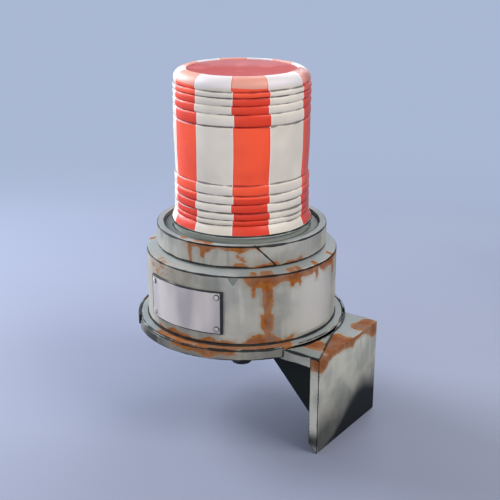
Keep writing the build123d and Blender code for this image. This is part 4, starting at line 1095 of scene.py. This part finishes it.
# Camera: place in metres, turn down from level and round from the Y axis in degrees, sideways shift.
EYE_PLACE, EYE_DOWN, EYE_ROUND, EYE_SHIFT = (0.4235, -0.7818, 0.4585), 19.616, 35.3, 0.0166
# Floor: reach and gap under the bracket's foot in metres, rings and spokes of its grid.
FLOOR_REACH, FLOOR_GAP, FLOOR_RINGS, FLOOR_SPOKES = 14, 0.0005, 40, 96


class BEACON_OT_studio(bpy.types.Operator):
    """Set up the floor, lamps, sky and camera"""

    bl_idname = "beacon.studio"
    bl_label = "Studio"

    def execute(self, context):
        """Floor: concentric rings of points r = 14 s^2 at the height of the bracket's foot."""
        _, _, studio = settings()
        scene = bpy.context.scene
        foot = BOX_AT_LOAD[0][2] - FLOOR_GAP
        radius = FLOOR_REACH * np.linspace(0.01, 1, FLOOR_RINGS)[:, None] ** 2
        turn = np.linspace(0, 2 * np.pi, FLOOR_SPOKES, endpoint=False)[None]
        flat = (AXIS_X + radius * np.cos(turn), radius * np.sin(turn), foot + 0 * radius * turn)
        points = np.stack(flat, -1)
        index = np.arange(FLOOR_RINGS * FLOOR_SPOKES).reshape(FLOOR_RINGS, FLOOR_SPOKES)
        nxt = np.roll(index, -1, 1)
        quads = np.stack([index[:-1], index[1:], nxt[1:], nxt[:-1]], -1).reshape(-1, 4)
        mesh = bpy.data.meshes.new("studio_floor")
        mesh.from_pydata(points.reshape(-1, 3).tolist(), [], [*quads.tolist(), index[0].tolist()])
        mesh.shade_smooth()
        floor = bpy.data.objects.new("studio_floor", mesh)
        scene.collection.objects.link(floor)
        material, tree = new_material("painted_studio_floor")
        colour = coat(tree, tuple(studio.floor_colour), "#7A8196", grain(tree, 600, 2.0), 0.4, 0.6)
        lit = add(tree, "BsdfPrincipled", {"Base Color": colour, "Roughness": 0.8})
        # Past the object's shadow the floor fades into one even pale tone, for the eye only.
        even = add(tree, "Emission", {"Color": BACKDROP, "Strength": 1.0})
        spot = {0: add(tree, "TexCoord", out="Object"), 1: (AXIS_X, 0, foot)}
        away = add(tree, "VectorMath", spot, out=1, operation="DISTANCE")
        away = add(tree, "MapRange", {0: away, 1: 0.3, 2: 1.2}, interpolation_type="SMOOTHSTEP")
        away = add(tree, "Math", {0: away, 1: viewed(tree)}, operation="MULTIPLY")
        add(tree, "OutputMaterial", {"Surface": add(tree, "MixShader", {0: away, 1: lit, 2: even})})
        mesh.materials.append(material)

        aim = np.array([AXIS_X, 0, 0.12])
        for name, power, size, place_at, tint in LAMPS:
            light = bpy.data.lights.new(name, "AREA")
            light.energy, light.size, light.color = power * studio.lamp_level, size, linear(tint)[:3]
            lamp = bpy.data.objects.new(name, light)
            scene.collection.objects.link(lamp)
            lamp.location = place_at
            lamp.rotation_euler = Vector(aim - np.array(place_at)).to_track_quat("-Z", "Y").to_euler()
        world = bpy.data.worlds.new("studio_sky")
        world.use_nodes = True
        world.node_tree.nodes.clear()
        tree = world.node_tree
        seen = add(tree, "Background", {"Color": BACKDROP, "Strength": 1.0})
        sky = add(tree, "Background", {"Color": "#DDE4F0", "Strength": 0.42})
        add(tree, "OutputWorld", {"Surface": add(tree, "MixShader", {0: viewed(tree), 1: sky, 2: seen})})
        scene.world = world

        camera = bpy.data.cameras.new("camera")
        camera.lens, camera.sensor_width, camera.shift_x = studio.focal_length, 36, EYE_SHIFT
        eye = bpy.data.objects.new("camera", camera)
        scene.collection.objects.link(eye)
        eye.location = EYE_PLACE
        eye.rotation_euler = (radians(90 - EYE_DOWN), 0, radians(EYE_ROUND))
        scene.camera = eye
        scene.view_settings.view_transform = "Standard"
        return {"FINISHED"}


OPERATORS = (
    BEACON_OT_drum, BEACON_OT_rim, BEACON_OT_nameplate, BEACON_OT_collar, BEACON_OT_lens, BEACON_OT_bracket,
    BEACON_OT_fittings, BEACON_OT_studio,
)


class BEACON_PT_panel(bpy.types.Panel):
    """Lists the beacon's pieces, sizes and colours"""

    bl_idname = "BEACON_PT_panel"
    bl_label = "Warning Beacon"
    bl_space_type = "VIEW_3D"
    bl_region_type = "UI"
    bl_category = "Beacon"

    def draw(self, context):
        """One button per operator, then every setting."""
        for operator in OPERATORS:
            self.layout.operator(operator.bl_idname)
        for group in settings():
            for key in group.__annotations__:
                self.layout.prop(group, key)


GROUPS = (("beacon_looks", BeaconLooks), ("beacon_shapes", BeaconShapes), ("beacon_studio", BeaconStudio))
CLASSES = (*(group for _, group in GROUPS), *OPERATORS, BEACON_PT_panel)


def register():
    """Register every class and hang the settings on the scene."""
    for cls in CLASSES:
        bpy.utils.register_class(cls)
    for key, group in GROUPS:
        setattr(bpy.types.Scene, key, bpy.props.PointerProperty(type=group))


def unregister():
    """Undo register."""
    for key, _ in GROUPS:
        delattr(bpy.types.Scene, key)
    for cls in reversed(CLASSES):
        bpy.utils.unregister_class(cls)


def main():
    """Register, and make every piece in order."""
    register()
    for operator in OPERATORS:
        getattr(bpy.ops.beacon, operator.bl_idname.split(".")[1])()


if __name__ == "__main__":
    main()
